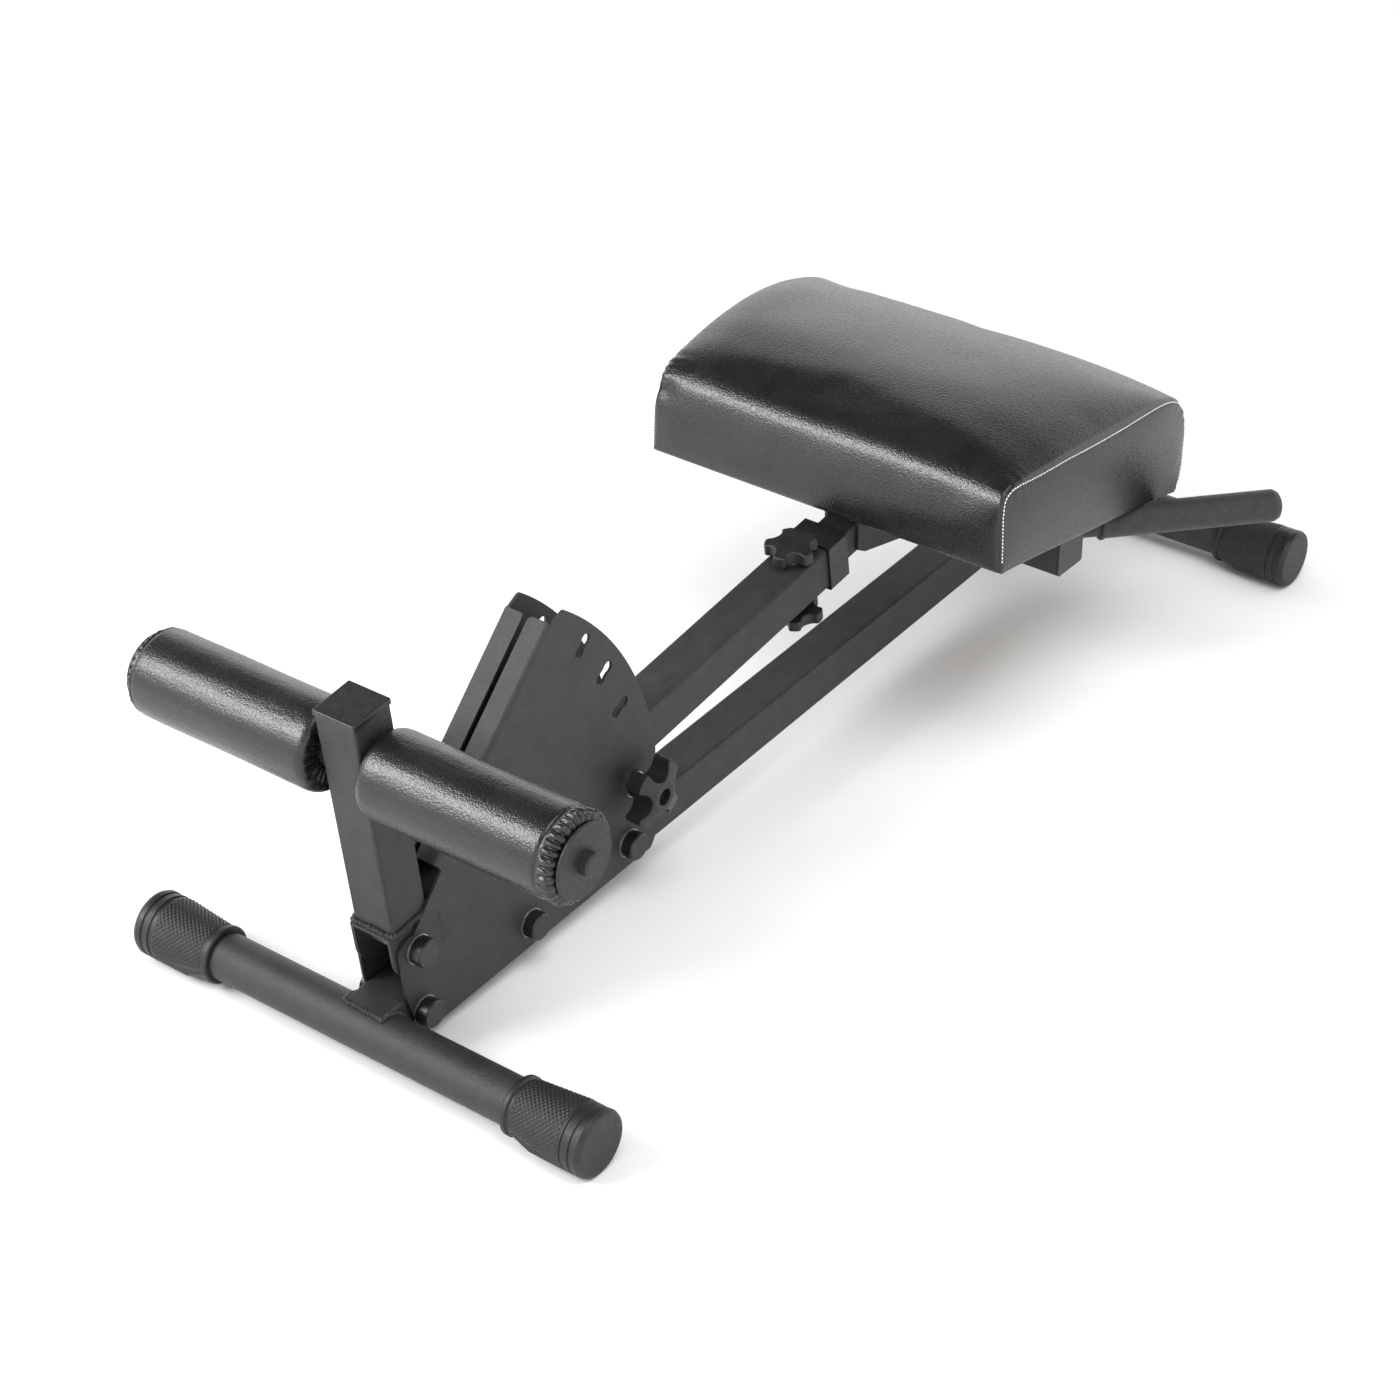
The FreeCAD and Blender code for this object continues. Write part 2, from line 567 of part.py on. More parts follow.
def rollers():
    length = ROLLER_LENGTH
    bore = ROLLER_BAR_R + RUNNING_GAP
    liner = [(0, bore), (0, ROLLER_LINER_R), (length, ROLLER_LINER_R), (length, bore)]
    foam_r, hub_r = ROLLER_R - ROLLER_COVER, ROLLER_LINER_R + 0.1
    foam = [
        (2.5, hub_r), (2.5, foam_r - 9), (5.5, foam_r - 2), (11, foam_r), (length - 9, foam_r),
        (length - 4, foam_r - 2), (length - 2, foam_r - 6), (length - 2, hub_r),
    ]
    throat = ROLLER_LINER_R + 4
    cover = [
        (0.6, throat), (0.6, ROLLER_R - 10), (3.6, ROLLER_R - 2.5), (10, ROLLER_R),
        (length - 8, ROLLER_R),
        (length - 3, ROLLER_R - 2), (length - 0.4, ROLLER_R - 6.5), (length - 0.4, throat),
        (length - 1.9, throat), (length - 1.9, foam_r - 5.8), (length - 3.9, foam_r - 1.9),
        (length - 8.9, foam_r + 0.1), (10.9, foam_r + 0.1), (5.4, foam_r - 1.9),
        (2.4, foam_r - 9), (2.4, throat),
    ]
    for name, side in SIDES.items():
        save("roller_liner_" + name, roller_layer(name, side, liner))
        save("roller_foam_" + name, roller_layer(name, side, foam))
        save("roller_cover_" + name, roller_layer(name, side, cover))


def arm_collar():
    """The plastic guide in the arm's open end that the slider runs in."""
    guide = rounded_bar(COLLAR_SPIGOT_START, ARM_TUBE_END + 0.2, BEAM - 2 * TUBE_WALL - PLUG_FIT, 1.2)
    guide = guide.fuse(rounded_bar(ARM_TUBE_END + 0.2, COLLAR_END, COLLAR, 2.0))
    bore = SLIDER + SLIDER_FIT
    guide = guide.cut(rounded_bar(COLLAR_SPIGOT_START - 1, COLLAR_END + 1, bore, 2.0))
    hole = Part.makeCylinder(M8_R + 0.6, 80, V(CLAMP_U, 0, -40))
    return put(guide.cut(hole), ARM_FRAME)


def arm():
    save("pivot_bracket", pivot_bracket())
    save("arm_tube", arm_tube())
    save("arm_rest_block", arm_rest_block())
    save("upright_tube", upright_tube())
    save("upright_cap", upright_cap())
    save("roller_bar", roller_bar())
    for name, side in SIDES.items():
        save("roller_end_plug_" + name, roller_end_plug(name, side))
    save("arm_collar", arm_collar())


# ---- Clamp that holds the slider --------------------------------------------------------------
def clamp_knob(end, head_at):
    """A star knob whose hub sits on the arm, on the side given by end."""
    hub = rod(CLAMP_HUB_R, V(0, 0, CLAMP_KNOB_SEAT), V(0, 0, head_at + 1))
    head = star_head(
        CLAMP_KNOB_R, CLAMP_KNOB, CLAMP_KNOB_DOME, CLAMP_KNOB_LOBES, CLAMP_KNOB_PHASE,
        CLAMP_KNOB_NOTCH_R, CLAMP_KNOB_WAIST,
    )
    head.translate(V(0, 0, head_at))
    flip = FreeCAD.Rotation(Y_AXIS, 0 if end > 0 else 180)
    return put(hub.fuse(head), FreeCAD.Placement(V(CLAMP_U, 0, 0), flip))


def clamp():
    """A knob on a long bolt from above, and a threaded knob on the bolt's lower end."""
    heads = CLAMP_KNOB_HEADS
    at = V(CLAMP_U, 0, 0)
    washers = []
    for end in (1, -1):
        seat = at + Z_AXIS * (end * (BEAM / 2 + 0.1))
        washers.append(put(pipe(11.0, M8_R + 0.3, seat, seat + Z_AXIS * (end * 1.5)), ARM_FRAME))
    bolt = rod(M8_R, at - Z_AXIS * (heads["bottom"] + 9), at + Z_AXIS * (heads["top"] + 6))
    deep, shallow = at - Z_AXIS * (heads["bottom"] + 8), at - Z_AXIS * CLAMP_KNOB_SEAT
    socket = rod(CLAMP_INSERT_R, deep, shallow).fuse(rod(M8_R + 0.5, deep - Z_AXIS * 2, shallow))
    save("clamp_washers", *washers)
    save("clamp_bolt", put(bolt, ARM_FRAME))
    save("clamp_knob_top", put(clamp_knob(1, heads["top"]).cut(bolt), ARM_FRAME))
    save("clamp_knob_bottom", put(clamp_knob(-1, heads["bottom"]).cut(socket), ARM_FRAME))
    save("clamp_thread_insert", put(pipe(CLAMP_INSERT_R, M8_R + RUNNING_GAP, deep, shallow), ARM_FRAME))


# ---- Angle lock -------------------------------------------------------------------------------
def angle_lock():
    """The pin that holds the arm's angle: a washer that stays free, a long bolt and its knob."""
    x, z = sector_point(LOCK_REST_ANGLE)
    washer_face = PLATE_GAP + PLATE + 0.2
    washer = pipe(11.5, M8_R + RUNNING_GAP, base(x, z, -washer_face), base(x, z, -washer_face - 2.2))
    head = star_head(
        ANGLE_KNOB_R, ANGLE_KNOB, ANGLE_KNOB_DOME, ANGLE_KNOB_LOBES, ANGLE_KNOB_PHASE,
        ANGLE_KNOB_NOTCH_R, ANGLE_KNOB_WAIST,
    )
    sideways = FreeCAD.Rotation(X_AXIS, 90)
    face = ANGLE_KNOB_HEAD + ANGLE_KNOB + ANGLE_KNOB_DOME
    knob = put(head, FreeCAD.Placement(base(x, z, -ANGLE_KNOB_HEAD), sideways))
    knob = knob.fuse(cross_rod(10.5, x, z, -ANGLE_KNOB_HEAD - 1, -ANGLE_KNOB_SEAT))
    knob = knob.cut(cross_rod(ANGLE_KNOB_WELL_R, x, z, -face - 1, -face + 6))
    bolt = cross_rod(M8_R, x, z, -face + 8, PLATE_GAP + PLATE + 8.5)
    save("lock_washer", washer)
    save("lock_bolt", bolt)
    save("lock_knob", knob.cut(bolt).removeSplitter())


# ---- Slider, cross tube and handles -----------------------------------------------------------
def slider_tube():
    tube = square_tube(SLIDER_START, SLIDER_END, SLIDER, TUBE_WALL, 2.0)
    half = M8_R + 0.5
    start, end = CLAMP_U - PAD_TRAVEL, CLAMP_U
    slot = box(start, end, -half, half, -40, 40)
    for u in (start, end):
        slot = slot.fuse(Part.makeCylinder(half, 80, V(u, 0, -40)))
    return put(tube.cut(slot), ARM_FRAME)


def pad_line(x, depth=0.0):
    """Height of the pad's underside, or of a line depth below it, at a base-frame x."""
    drop = math.tan(math.radians(PAD_TILT)) * (x - PAD_FRONT[0])
    return PAD_FRONT[1] + drop - depth / math.cos(math.radians(PAD_TILT))


def pad_bracket():
    """Two cheeks that join the slider's end to the cross tube, under a plate for the pad."""
    inner, outer = SLIDER / 2 + 0.1, SLIDER / 2 + 3.1
    front, rear = 630.0, CROSS_X + BEAM - 5
    under = 1.4
    outline = [
        (front, pad_line(front, under)), (rear, pad_line(rear, under)), (rear, CROSS_Z + BEAM + 0.1),
        (CROSS_X - 0.1, CROSS_Z + BEAM + 0.1), (CROSS_X - 0.1, CROSS_Z + 2), (642.0, 133.5),
        (front, 140.0),
    ]
    local = FreeCAD.Placement(base(0, 0), FreeCAD.Rotation())
    cheeks = [prism(outline, *sorted((side * inner, side * outer)), local) for side in SIDES.values()]
    plate = box(36, 172, -62, 62, -under, under)
    upright_edges = [edge for edge in plate.Edges if abs(edge.tangentAt(0).z) > 0.99]
    plate = put(plate.makeFillet(8.0, upright_edges), PAD_FRAME)
    bracket = plate.fuse(cheeks).removeSplitter()
    for x, y in PAD_BOLTS:
        bracket = bracket.cut(put(Part.makeCylinder(M8_R + HOLE_GAP, 20, V(x, y, -10)), PAD_FRAME))
    return bracket


def cross_tube():
    centre = base(CROSS_X + BEAM / 2, CROSS_Z + BEAM / 2)
    across = FreeCAD.Placement(centre, FreeCAD.Rotation(Z_AXIS, 90))
    save("cross_tube", put(square_tube(-CROSS_HALF, CROSS_HALF, BEAM), across))
    inner = BEAM - 2 * TUBE_WALL - PLUG_FIT
    for name, side in SIDES.items():
        end = CROSS_HALF * side
        flange = rounded_bar(*sorted((end, end + side * PLUG_FLANGE)), BEAM, BEAM_CORNER_R)
        plug = rounded_bar(*sorted((end - side * 16, end)), inner, 1.5)
        save("cross_tube_plug_" + name, put(flange.fuse(plug), across))


def handle_line(side):
    """Where a handle leaves the cross tube, and the way it points."""
    turn = math.radians(HANDLE_ANGLE)
    root = base(CROSS_X + BEAM, CROSS_Z + BEAM / 2, side * HANDLE_ROOT_Y)
    return root, V(math.cos(turn), side * math.sin(turn), 0)


def handles():
    tube_box = box(base(CROSS_X, 0).x, base(CROSS_X + BEAM, 0).x, -CROSS_HALF, CROSS_HALF, 0, 400)
    for name, side in SIDES.items():
        root, direction = handle_line(side)
        tip = root + direction * HANDLE_LENGTH
        handle = pipe(HANDLE_R, HANDLE_R - HANDLE_WALL, root - direction * 20, tip).cut(tube_box)
        save("handle_tube_" + name, max(handle.Solids, key=lambda solid: solid.Volume))
        length = HANDLE_LENGTH + 4.0 - GRIP_START
        bore = HANDLE_R + 0.05
        profile = [
            (0, bore), (0, GRIP_R + 0.6), (0.8, GRIP_R + 1.2), (3.2, GRIP_R + 1.2), (4.2, GRIP_R),
            (length - 7, GRIP_R), (length - 2.5, GRIP_R - 2.4), (length - 0.4, GRIP_R - 6),
            (length, GRIP_R - 9), (length, 0), (length - 3.9, 0), (length - 3.9, bore),
        ]
        save("handle_grip_" + name, turned(profile, root + direction * GRIP_START, direction))


def slider():
    save("slider_tube", slider_tube())
    save("pad_bracket", pad_bracket())
    cross_tube()
    handles()


# ---- Pad --------------------------------------------------------------------------------------
def pad_profile(inset):
    """The pad's side outline, shrunk by an inset: flat below, rounded at both top edges."""
    points = {
        "front_low": (inset, inset),
        "front_high": (-5.0 + inset, 46.0),
        "front_bend": (6.0 + inset * 0.8, 84.0 - inset * 0.7),
        "front_top": (42.0, 102.0 - inset),
        "crown": (130.0, 117.0 - inset),
        "rear_top": (214.0, 121.0 - inset),
        "rear_bend": (281.0 - inset * 0.7, 96.0 - inset * 0.7),
        "rear_high": (315.0 - inset, 44.0),
        "rear_low": (316.0 - inset, 9.0 + inset),
        "rear_tuck": (PAD_LENGTH - inset, inset),
    }
    p = {name: V(x, 0, z) for name, (x, z) in points.items()}
    edges = [
        Part.LineSegment(p["front_low"], p["front_high"]),
        Part.Arc(p["front_high"], p["front_bend"], p["front_top"]),
        Part.Arc(p["front_top"], p["crown"], p["rear_top"]),
        Part.Arc(p["rear_top"], p["rear_bend"], p["rear_high"]),
        Part.LineSegment(p["rear_high"], p["rear_low"]),
        Part.LineSegment(p["rear_low"], p["rear_tuck"]),
        Part.LineSegment(p["rear_tuck"], p["front_low"]),
    ]
    return Part.Wire([edge.toShape() for edge in edges])


def pad_block(inset):
    half = PAD_HALF_WIDTH - inset
    face = Part.Face(pad_profile(inset))
    face.translate(V(0, -half, 0))
    return face.extrude(V(0, 2 * half, 0))


def pad_board():
    half, low = BOARD_HALF_WIDTH, PAD_COVER + 0.2
    board = box(BOARD_MARGIN, PAD_LENGTH - BOARD_MARGIN, -half, half, low, low + BOARD)
    board = board.makeFillet(14.0, [edge for edge in board.Edges if abs(edge.tangentAt(0).z) > 0.99])
    for x, y in PAD_BOLTS:
        board = board.cut(Part.makeCylinder(T_NUT_R + 0.05, BOARD + 2, V(x, y, low - 1)))
    return board


def handle_room():
    """The room the handles and their grips need under the pad's rear corners."""
    room = []
    for side in SIDES.values():
        root, direction = handle_line(side)
        tube = Part.makeCylinder(HANDLE_R + 0.3, HANDLE_LENGTH, root, direction)
        collar = root + direction * (GRIP_START - 0.3)
        room.append(tube.fuse(Part.makeCylinder(GRIP_R + 1.5, HANDLE_LENGTH, collar, direction)))
    return room


def pad():
    board = pad_board()
    inset = PAD_COVER + 0.1
    board_top = PAD_COVER + 0.2 + BOARD
    foam = pad_block(inset).cut(box(-30, 400, -250, 250, -20, board_top + 1.6))
    margin, half = COVER_HEM[0], PAD_HALF_WIDTH - COVER_HEM[1]
    opening = box(margin, PAD_LENGTH - margin, -half, half, -5, 20)
    cover = pad_block(0).cut(pad_block(PAD_COVER)).cut(opening)
    bolts, nuts = [], []
    for x, y in PAD_BOLTS:
        shank = Part.makeCylinder(M8_R, 16.0, V(x, y, -2.9))
        head = Part.makeCylinder(7.5, 4.0, V(x, y, -5.6))
        head = head.makeFillet(1.6, [head.Edges[2]])
        bolts.append(put(shank.fuse(head), PAD_FRAME))
        barrel = Part.makeCylinder(T_NUT_R, BOARD - 2, V(x, y, board_top - BOARD + 2))
        plate = Part.makeCylinder(11.0, 1.4, V(x, y, board_top))
        bore = Part.makeCylinder(M8_R + 0.02, 30, V(x, y, -5))
        nuts.append(put(barrel.fuse(plate).cut(bore), PAD_FRAME))
    save("pad_board", put(board, PAD_FRAME).cut(handle_room()))
    save("pad_foam", put(foam, PAD_FRAME))
    save("pad_cover", put(cover, PAD_FRAME).cut(handle_room()))
    save("pad_bolts", *bolts)
    save("pad_t_nuts", *nuts)


# ---- The whole bench --------------------------------------------------------------------------
def main():
    os.makedirs("parts", exist_ok=True)
    feet()
    save("lower_beam", lower_beam())
    save("beam_end_plug", beam_end_plug())
    save("crush_sleeves", *crush_sleeves())
    save("rear_saddle", rear_saddle())
    bolted_joints()
    save("pivot_sleeve", pivot_sleeve())
    for name, side in SIDES.items():
        save("sector_plate_" + name, sector_plate(side))
    save("lock_nut", lock_nut())
    arm()
    rollers()
    clamp()
    angle_lock()
    slider()
    pad()


main()
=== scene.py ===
"""The looks of the folding back-extension bench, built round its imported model.

Everything is in metres, in the row frame: +X from the ankle rollers to the hip pad, +Y to the left, +Z up.
Pieces are laid out in three local frames, the same ones that the model was drawn in, and moved into place.
"""

import json
import math

import bmesh
import bpy
import numpy as np
from mathutils import Matrix, Vector, noise
from mathutils.bvhtree import BVHTree
from mathutils.kdtree import KDTree


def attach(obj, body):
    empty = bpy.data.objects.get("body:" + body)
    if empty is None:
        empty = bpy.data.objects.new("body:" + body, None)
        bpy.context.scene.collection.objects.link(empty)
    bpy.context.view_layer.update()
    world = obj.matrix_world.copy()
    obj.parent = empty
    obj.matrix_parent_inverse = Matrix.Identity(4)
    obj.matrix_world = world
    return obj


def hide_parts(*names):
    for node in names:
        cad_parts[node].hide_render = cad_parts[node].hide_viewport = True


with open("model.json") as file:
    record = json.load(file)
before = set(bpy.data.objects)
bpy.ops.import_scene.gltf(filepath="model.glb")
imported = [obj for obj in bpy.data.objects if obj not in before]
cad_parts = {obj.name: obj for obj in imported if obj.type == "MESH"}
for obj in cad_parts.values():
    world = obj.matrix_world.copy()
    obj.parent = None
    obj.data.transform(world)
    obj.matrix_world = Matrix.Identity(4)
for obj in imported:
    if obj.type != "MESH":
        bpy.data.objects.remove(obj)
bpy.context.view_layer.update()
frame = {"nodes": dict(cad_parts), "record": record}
NODES = frame["nodes"]
MM = 0.001
SIDES = {"left": 1, "right": -1}

# ---- Places shared with the model -------------------------------------------------------------
FOOT_X = 0.535
FOOT_Z = 0.027
FOOT_TUBE_R = 0.020
CAP_END_Y = 0.229
CAP_LENGTH = 0.078
TUBE = 0.040

PIVOT = Vector((-0.499, 0, 0.092))
ARM_TILT = 8.26
ARM_FRAME = Matrix.Translation(PIVOT) @ Matrix.Rotation(math.radians(-ARM_TILT), 4, "Y")
BRACKET_TOP = 0.026
ARM_TUBE_START = 0.028

ROLLER_AXIS = (0.003, 0.176)
ROLLER_START = {"left": 0.026, "right": 0.0212}
ROLLER_LENGTH = 0.1848

PAD_ORIGIN = Vector((0.0653, 0, 0.213))
PAD_TILT = 10.0
PAD_FRAME = Matrix.Translation(PAD_ORIGIN) @ Matrix.Rotation(math.radians(PAD_TILT), 4, "Y")
PAD_LENGTH = 0.308

CROSS_TUBE_REAR = 0.244
CROSS_TUBE_Z = 0.1575
HANDLE_ROOT_Y = 0.121
HANDLE_ANGLE = 41.8
HANDLE_R = 0.0125


# ---- Small helpers ----------------------------------------------------------------------------
def smoothstep(value):
    value = np.clip(value, 0.0, 1.0)
    return value * value * (3 - 2 * value)


def smooth_line(points, count):
    """A Catmull-Rom curve through points, cut into count evenly spaced points."""
    p = np.array(points, float)
    p = np.vstack([2 * p[0] - p[1], p, 2 * p[-1] - p[-2]])
    u = np.linspace(0, 1, 24, endpoint=False)[:, None]
    dense = []
    for a, b, c, d in zip(p, p[1:], p[2:], p[3:]):
        square, cube = 2 * a - 5 * b + 4 * c - d, 3 * b - a - 3 * c + d
        dense.append(0.5 * (2 * b + (c - a) * u + square * u**2 + cube * u**3))
    dense = np.vstack(dense + [p[-2:-1]])
    return evenly(dense, count)


def arc_length(line):
    """The distance along a line at each of its points."""
    steps = np.linalg.norm(np.diff(line, axis=0), axis=1)
    return np.concatenate([[0.0], np.cumsum(steps)])


def evenly(line, count):
    """A line cut into count evenly spaced points."""
    along = arc_length(line)
    at = np.linspace(0, along[-1], count)
    return np.stack([np.interp(at, along, line[:, k]) for k in range(line.shape[1])], axis=1)


def coordinates(mesh):
    flat = np.empty(len(mesh.vertices) * 3)
    mesh.vertices.foreach_get("co", flat)
    return flat.reshape(-1, 3)


def set_coordinates(mesh, points):
    mesh.vertices.foreach_set("co", np.asarray(points, float).ravel())
    mesh.update()


def vertex_normals(mesh):
    flat = np.empty(len(mesh.vertices) * 3, np.float32)
    mesh.vertex_normals.foreach_get("vector", flat)
    return flat.reshape(-1, 3).astype(float)


def add_piece(name, points, faces, material, body):
    """A smooth-shaded mesh with outward faces, on its body and slot."""
    mesh = bpy.data.meshes.new(name)
    mesh.from_pydata([tuple(p) for p in points], [], faces)
    shaped = bmesh.new()
    shaped.from_mesh(mesh)
    bmesh.ops.recalc_face_normals(shaped, faces=shaped.faces)
    shaped.to_mesh(mesh)
    shaped.free()
    mesh.shade_smooth()
    mesh.materials.append(material)
    piece = bpy.data.objects.new(name, mesh)
    bpy.context.scene.collection.objects.link(piece)
    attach(piece, body)
    return piece


def grid_faces(rows, columns, closed=False):
    """Quads of a grid stored row by row, wrapped round in the columns if closed."""
    faces = []
    for i in range(rows - 1):
        for j in range(columns if closed else columns - 1):
            k = (j + 1) % columns
            faces.append((i * columns + j, i * columns + k, (i + 1) * columns + k, (i + 1) * columns + j))
    return faces


def moved(placement, points):
    m = np.array(placement)
    return np.asarray(points, float) @ m[:3, :3].T + m[:3, 3]


def waves(points, scale, seed):
    """Smooth noise from -1 to 1 at each point."""
    shift = Vector((seed * 3.7, seed * 1.3, seed * 2.1))
    return np.array([noise.noise(Vector(p) * scale + shift) for p in points])


# ---- Materials --------------------------------------------------------------------------------
class Surface:
    """A Principled material whose colour, roughness and relief come from procedural nodes."""

    def __init__(self, name, specular=0.5, coat=0.0, coat_roughness=0.3, metallic=0.0, sheen=0.0):
        self.material = bpy.data.materials.new(name)
        self.material.use_nodes = True
        self.tree = self.material.node_tree
        self.shader = self.tree.nodes["Principled BSDF"]
        self.shader.inputs["Specular IOR Level"].default_value = specular
        self.shader.inputs["Coat Weight"].default_value = coat
        self.shader.inputs["Coat Roughness"].default_value = coat_roughness
        self.shader.inputs["Metallic"].default_value = metallic
        self.shader.inputs["Sheen Weight"].default_value = sheen
        self.place = self.node("ShaderNodeTexCoord").outputs["Object"]
        self.relief = None

    def node(self, kind, **values):
        made = self.tree.nodes.new(kind)
        for key, value in values.items():
            setattr(made, key, value)
        return made

    def link(self, start, end):
        self.tree.links.new(start, end)

    def stretched(self, scale):
        mapping = self.node("ShaderNodeMapping")
        mapping.inputs["Scale"].default_value = scale
        self.link(self.place, mapping.inputs["Vector"])
        return mapping.outputs["Vector"]

    def noise(self, scale, detail=3.0, distortion=0.0, place=None):
        made = self.node("ShaderNodeTexNoise")
        made.inputs["Scale"].default_value = scale
        made.inputs["Detail"].default_value = detail
        made.inputs["Distortion"].default_value = distortion
        self.link(place or self.place, made.inputs["Vector"])
        return made.outputs["Fac"]

    def cells(self, scale, feature="F1"):
        made = self.node("ShaderNodeTexVoronoi", feature=feature)
        made.inputs["Scale"].default_value = scale
        self.link(self.place, made.inputs["Vector"])
        return made.outputs["Distance"]

    def spread(self, value, low, high, start=0.3, end=0.7):
        """The value's range start..end, stretched to low..high."""
        made = self.node("ShaderNodeMapRange")
        for name, number in zip(("From Min", "From Max", "To Min", "To Max"), (start, end, low, high)):
            made.inputs[name].default_value = number
        self.link(value, made.inputs["Value"])
        return made.outputs["Result"]

    def colour(self, value, dark, light):
        made = self.node("ShaderNodeMix", data_type="RGBA")
        made.inputs["A"].default_value = (*dark, 1)
        made.inputs["B"].default_value = (*light, 1)
        self.link(value, made.inputs["Factor"])
        self.link(made.outputs["Result"], self.shader.inputs["Base Color"])

    def roughness(self, value, low, high):
        self.link(self.spread(value, low, high), self.shader.inputs["Roughness"])

    def bump(self, height, depth, strength=1.0):
        """Adds a layer of relief of that depth in metres."""
        made = self.node("ShaderNodeBump")
        made.inputs["Distance"].default_value = depth
        made.inputs["Strength"].default_value = strength
        self.link(height, made.inputs["Height"])
        if self.relief is not None:
            self.link(self.relief, made.inputs["Normal"])
        self.relief = made.outputs["Normal"]
        return self

    def soft_edges(self, radius):
        made = self.node("ShaderNodeBevel", samples=4)
        made.inputs["Radius"].default_value = radius
        self.relief = made.outputs["Normal"]
        return self

    def done(self):
        if self.relief is not None:
            self.link(self.relief, self.shader.inputs["Normal"])
        return self.material


def grey(value, warmth=0.0):
    return (value * (1 + warmth), value, value * (1 - warmth * 0.5))


def powder_coat():
    """Black powder coat: a fine pebbled film over steel."""
    coat = Surface("powder_coat", specular=0.5).soft_edges(0.7 * MM)
    speckle = coat.noise(1400, detail=2)
    coat.bump(speckle, 0.28 * MM, 1.0).bump(coat.noise(420, detail=2), 0.34 * MM, 0.9)
    coat.colour(coat.spread(coat.noise(60), 0, 1), grey(0.013), grey(0.022))
    coat.roughness(speckle, 0.46, 0.64)
    return coat.done()


def moulded_plastic(name, shade, low, high, edge=0.5 * MM):
    """Black moulded plastic with a spark-eroded grain."""
    plastic = Surface(name, specular=0.45).soft_edges(edge)
    grain = plastic.noise(1900, detail=3)
    plastic.bump(grain, 0.06 * MM, 0.8)
    plastic.colour(plastic.spread(plastic.noise(90), 0, 1), grey(shade), grey(shade * 1.35))
    plastic.roughness(plastic.noise(240), low, high)
    return plastic.done()


def soft_rubber():
    """The foamed rubber of the handle grips: matte, with a fine skin."""
    rubber = Surface("grip_rubber", specular=0.4, sheen=0.1).soft_edges(0.8 * MM)
    rubber.bump(rubber.noise(1300, detail=4), 0.1 * MM, 0.9)
    rubber.colour(rubber.spread(rubber.noise(130), 0, 1), grey(0.022), grey(0.034))
    rubber.roughness(rubber.noise(300), 0.52, 0.72)
    return rubber.done()


def faux_leather(name, low, high, grain_scale, grain_depth):
    """Black coated fabric: a pebble grain with soft creases under it."""
    leather = Surface(name, specular=0.5, coat=0.05, coat_roughness=0.25)
    pebbles = leather.cells(grain_scale, "SMOOTH_F1")
    leather.bump(leather.noise(30, detail=3, distortion=0.6), 0.2 * MM, 0.15)
    leather.bump(leather.noise(grain_scale / 2, detail=2), 0.06 * MM, 0.5)
    leather.bump(pebbles, grain_depth, 1.0)
    leather.colour(leather.spread(leather.noise(36), 0, 1), grey(0.006), grey(0.011))
    leather.roughness(pebbles, low, high)
    return leather.done()


def thread():
    """Off-white polyester thread with a twist."""
    cotton = Surface("thread", specular=0.4)
    cotton.bump(cotton.noise(2600), 0.1 * MM, 0.8)
    cotton.colour(cotton.spread(cotton.noise(700), 0, 1), grey(0.62, 0.01), grey(0.80, 0.01))
    cotton.roughness(cotton.noise(500), 0.55, 0.75)
    return cotton.done()


def zinc_plate():
    zinc = Surface("zinc_plate", metallic=1.0).soft_edges(0.3 * MM)
    zinc.bump(zinc.noise(900, detail=4), 0.03 * MM, 0.6)
    zinc.colour(zinc.spread(zinc.noise(150), 0, 1), (0.42, 0.43, 0.45), (0.6, 0.6, 0.58))
    zinc.roughness(zinc.noise(260), 0.26, 0.42)
    return zinc.done()


def plywood():
    """Raw birch plywood, with its grain along the pad's width."""
    board = Surface("plywood", specular=0.3)
    grain = board.noise(1.0, detail=6, distortion=0.4, place=board.stretched((420, 14, 420)))
    board.bump(grain, 0.15 * MM, 0.7)
    board.colour(board.spread(grain, 0, 1), (0.36, 0.22, 0.11), (0.62, 0.44, 0.26))
    board.roughness(grain, 0.6, 0.8)
    return board.done()


def foam():
    block = Surface("foam", specular=0.2)
    block.bump(block.cells(900), 0.25 * MM, 0.9)
    block.colour(block.spread(block.noise(200), 0, 1), grey(0.16), grey(0.24))
    block.roughness(block.noise(200), 0.85, 0.95)
    return block.done()


def floor_paint():
    paint = Surface("floor_paint", specular=0.2)
    paint.bump(paint.noise(400), 0.02 * MM, 0.4)
    paint.colour(paint.spread(paint.noise(3), 0, 1), grey(0.86), grey(0.88))
    paint.roughness(paint.noise(8), 0.75, 0.85)
    return paint.done()


MATERIALS = {
    "frame_coat": powder_coat(),
    "cap_plastic": moulded_plastic("cap_plastic", 0.008, 0.42, 0.58),
    "plug_plastic": moulded_plastic("plug_plastic", 0.009, 0.26, 0.42),
    "knob_plastic": moulded_plastic("knob_plastic", 0.009, 0.36, 0.52, 0.8 * MM),
    "roller_plug": moulded_plastic("roller_plug", 0.014, 0.5, 0.62),
    "liner_plastic": moulded_plastic("liner_plastic", 0.024, 0.4, 0.5),
    "grip_rubber": soft_rubber(),
    "fastener_steel": zinc_plate(),
    "pad_cover": faux_leather("pad_leather", 0.25, 0.37, 700, 0.26 * MM),
    "roller_cover": faux_leather("roller_leather", 0.27, 0.38, 780, 0.24 * MM),
    "foam": foam(),
    "board_wood": plywood(),
}
THREAD = thread()


def dress_model():
    """Gives every node of the model its slot's material."""
    slots = {row["node"]: row["material_slot"] for row in frame["record"]["subparts"]}
    for name, node in NODES.items():
        node.data.materials.clear()
        node.data.materials.append(MATERIALS[slots[name]])


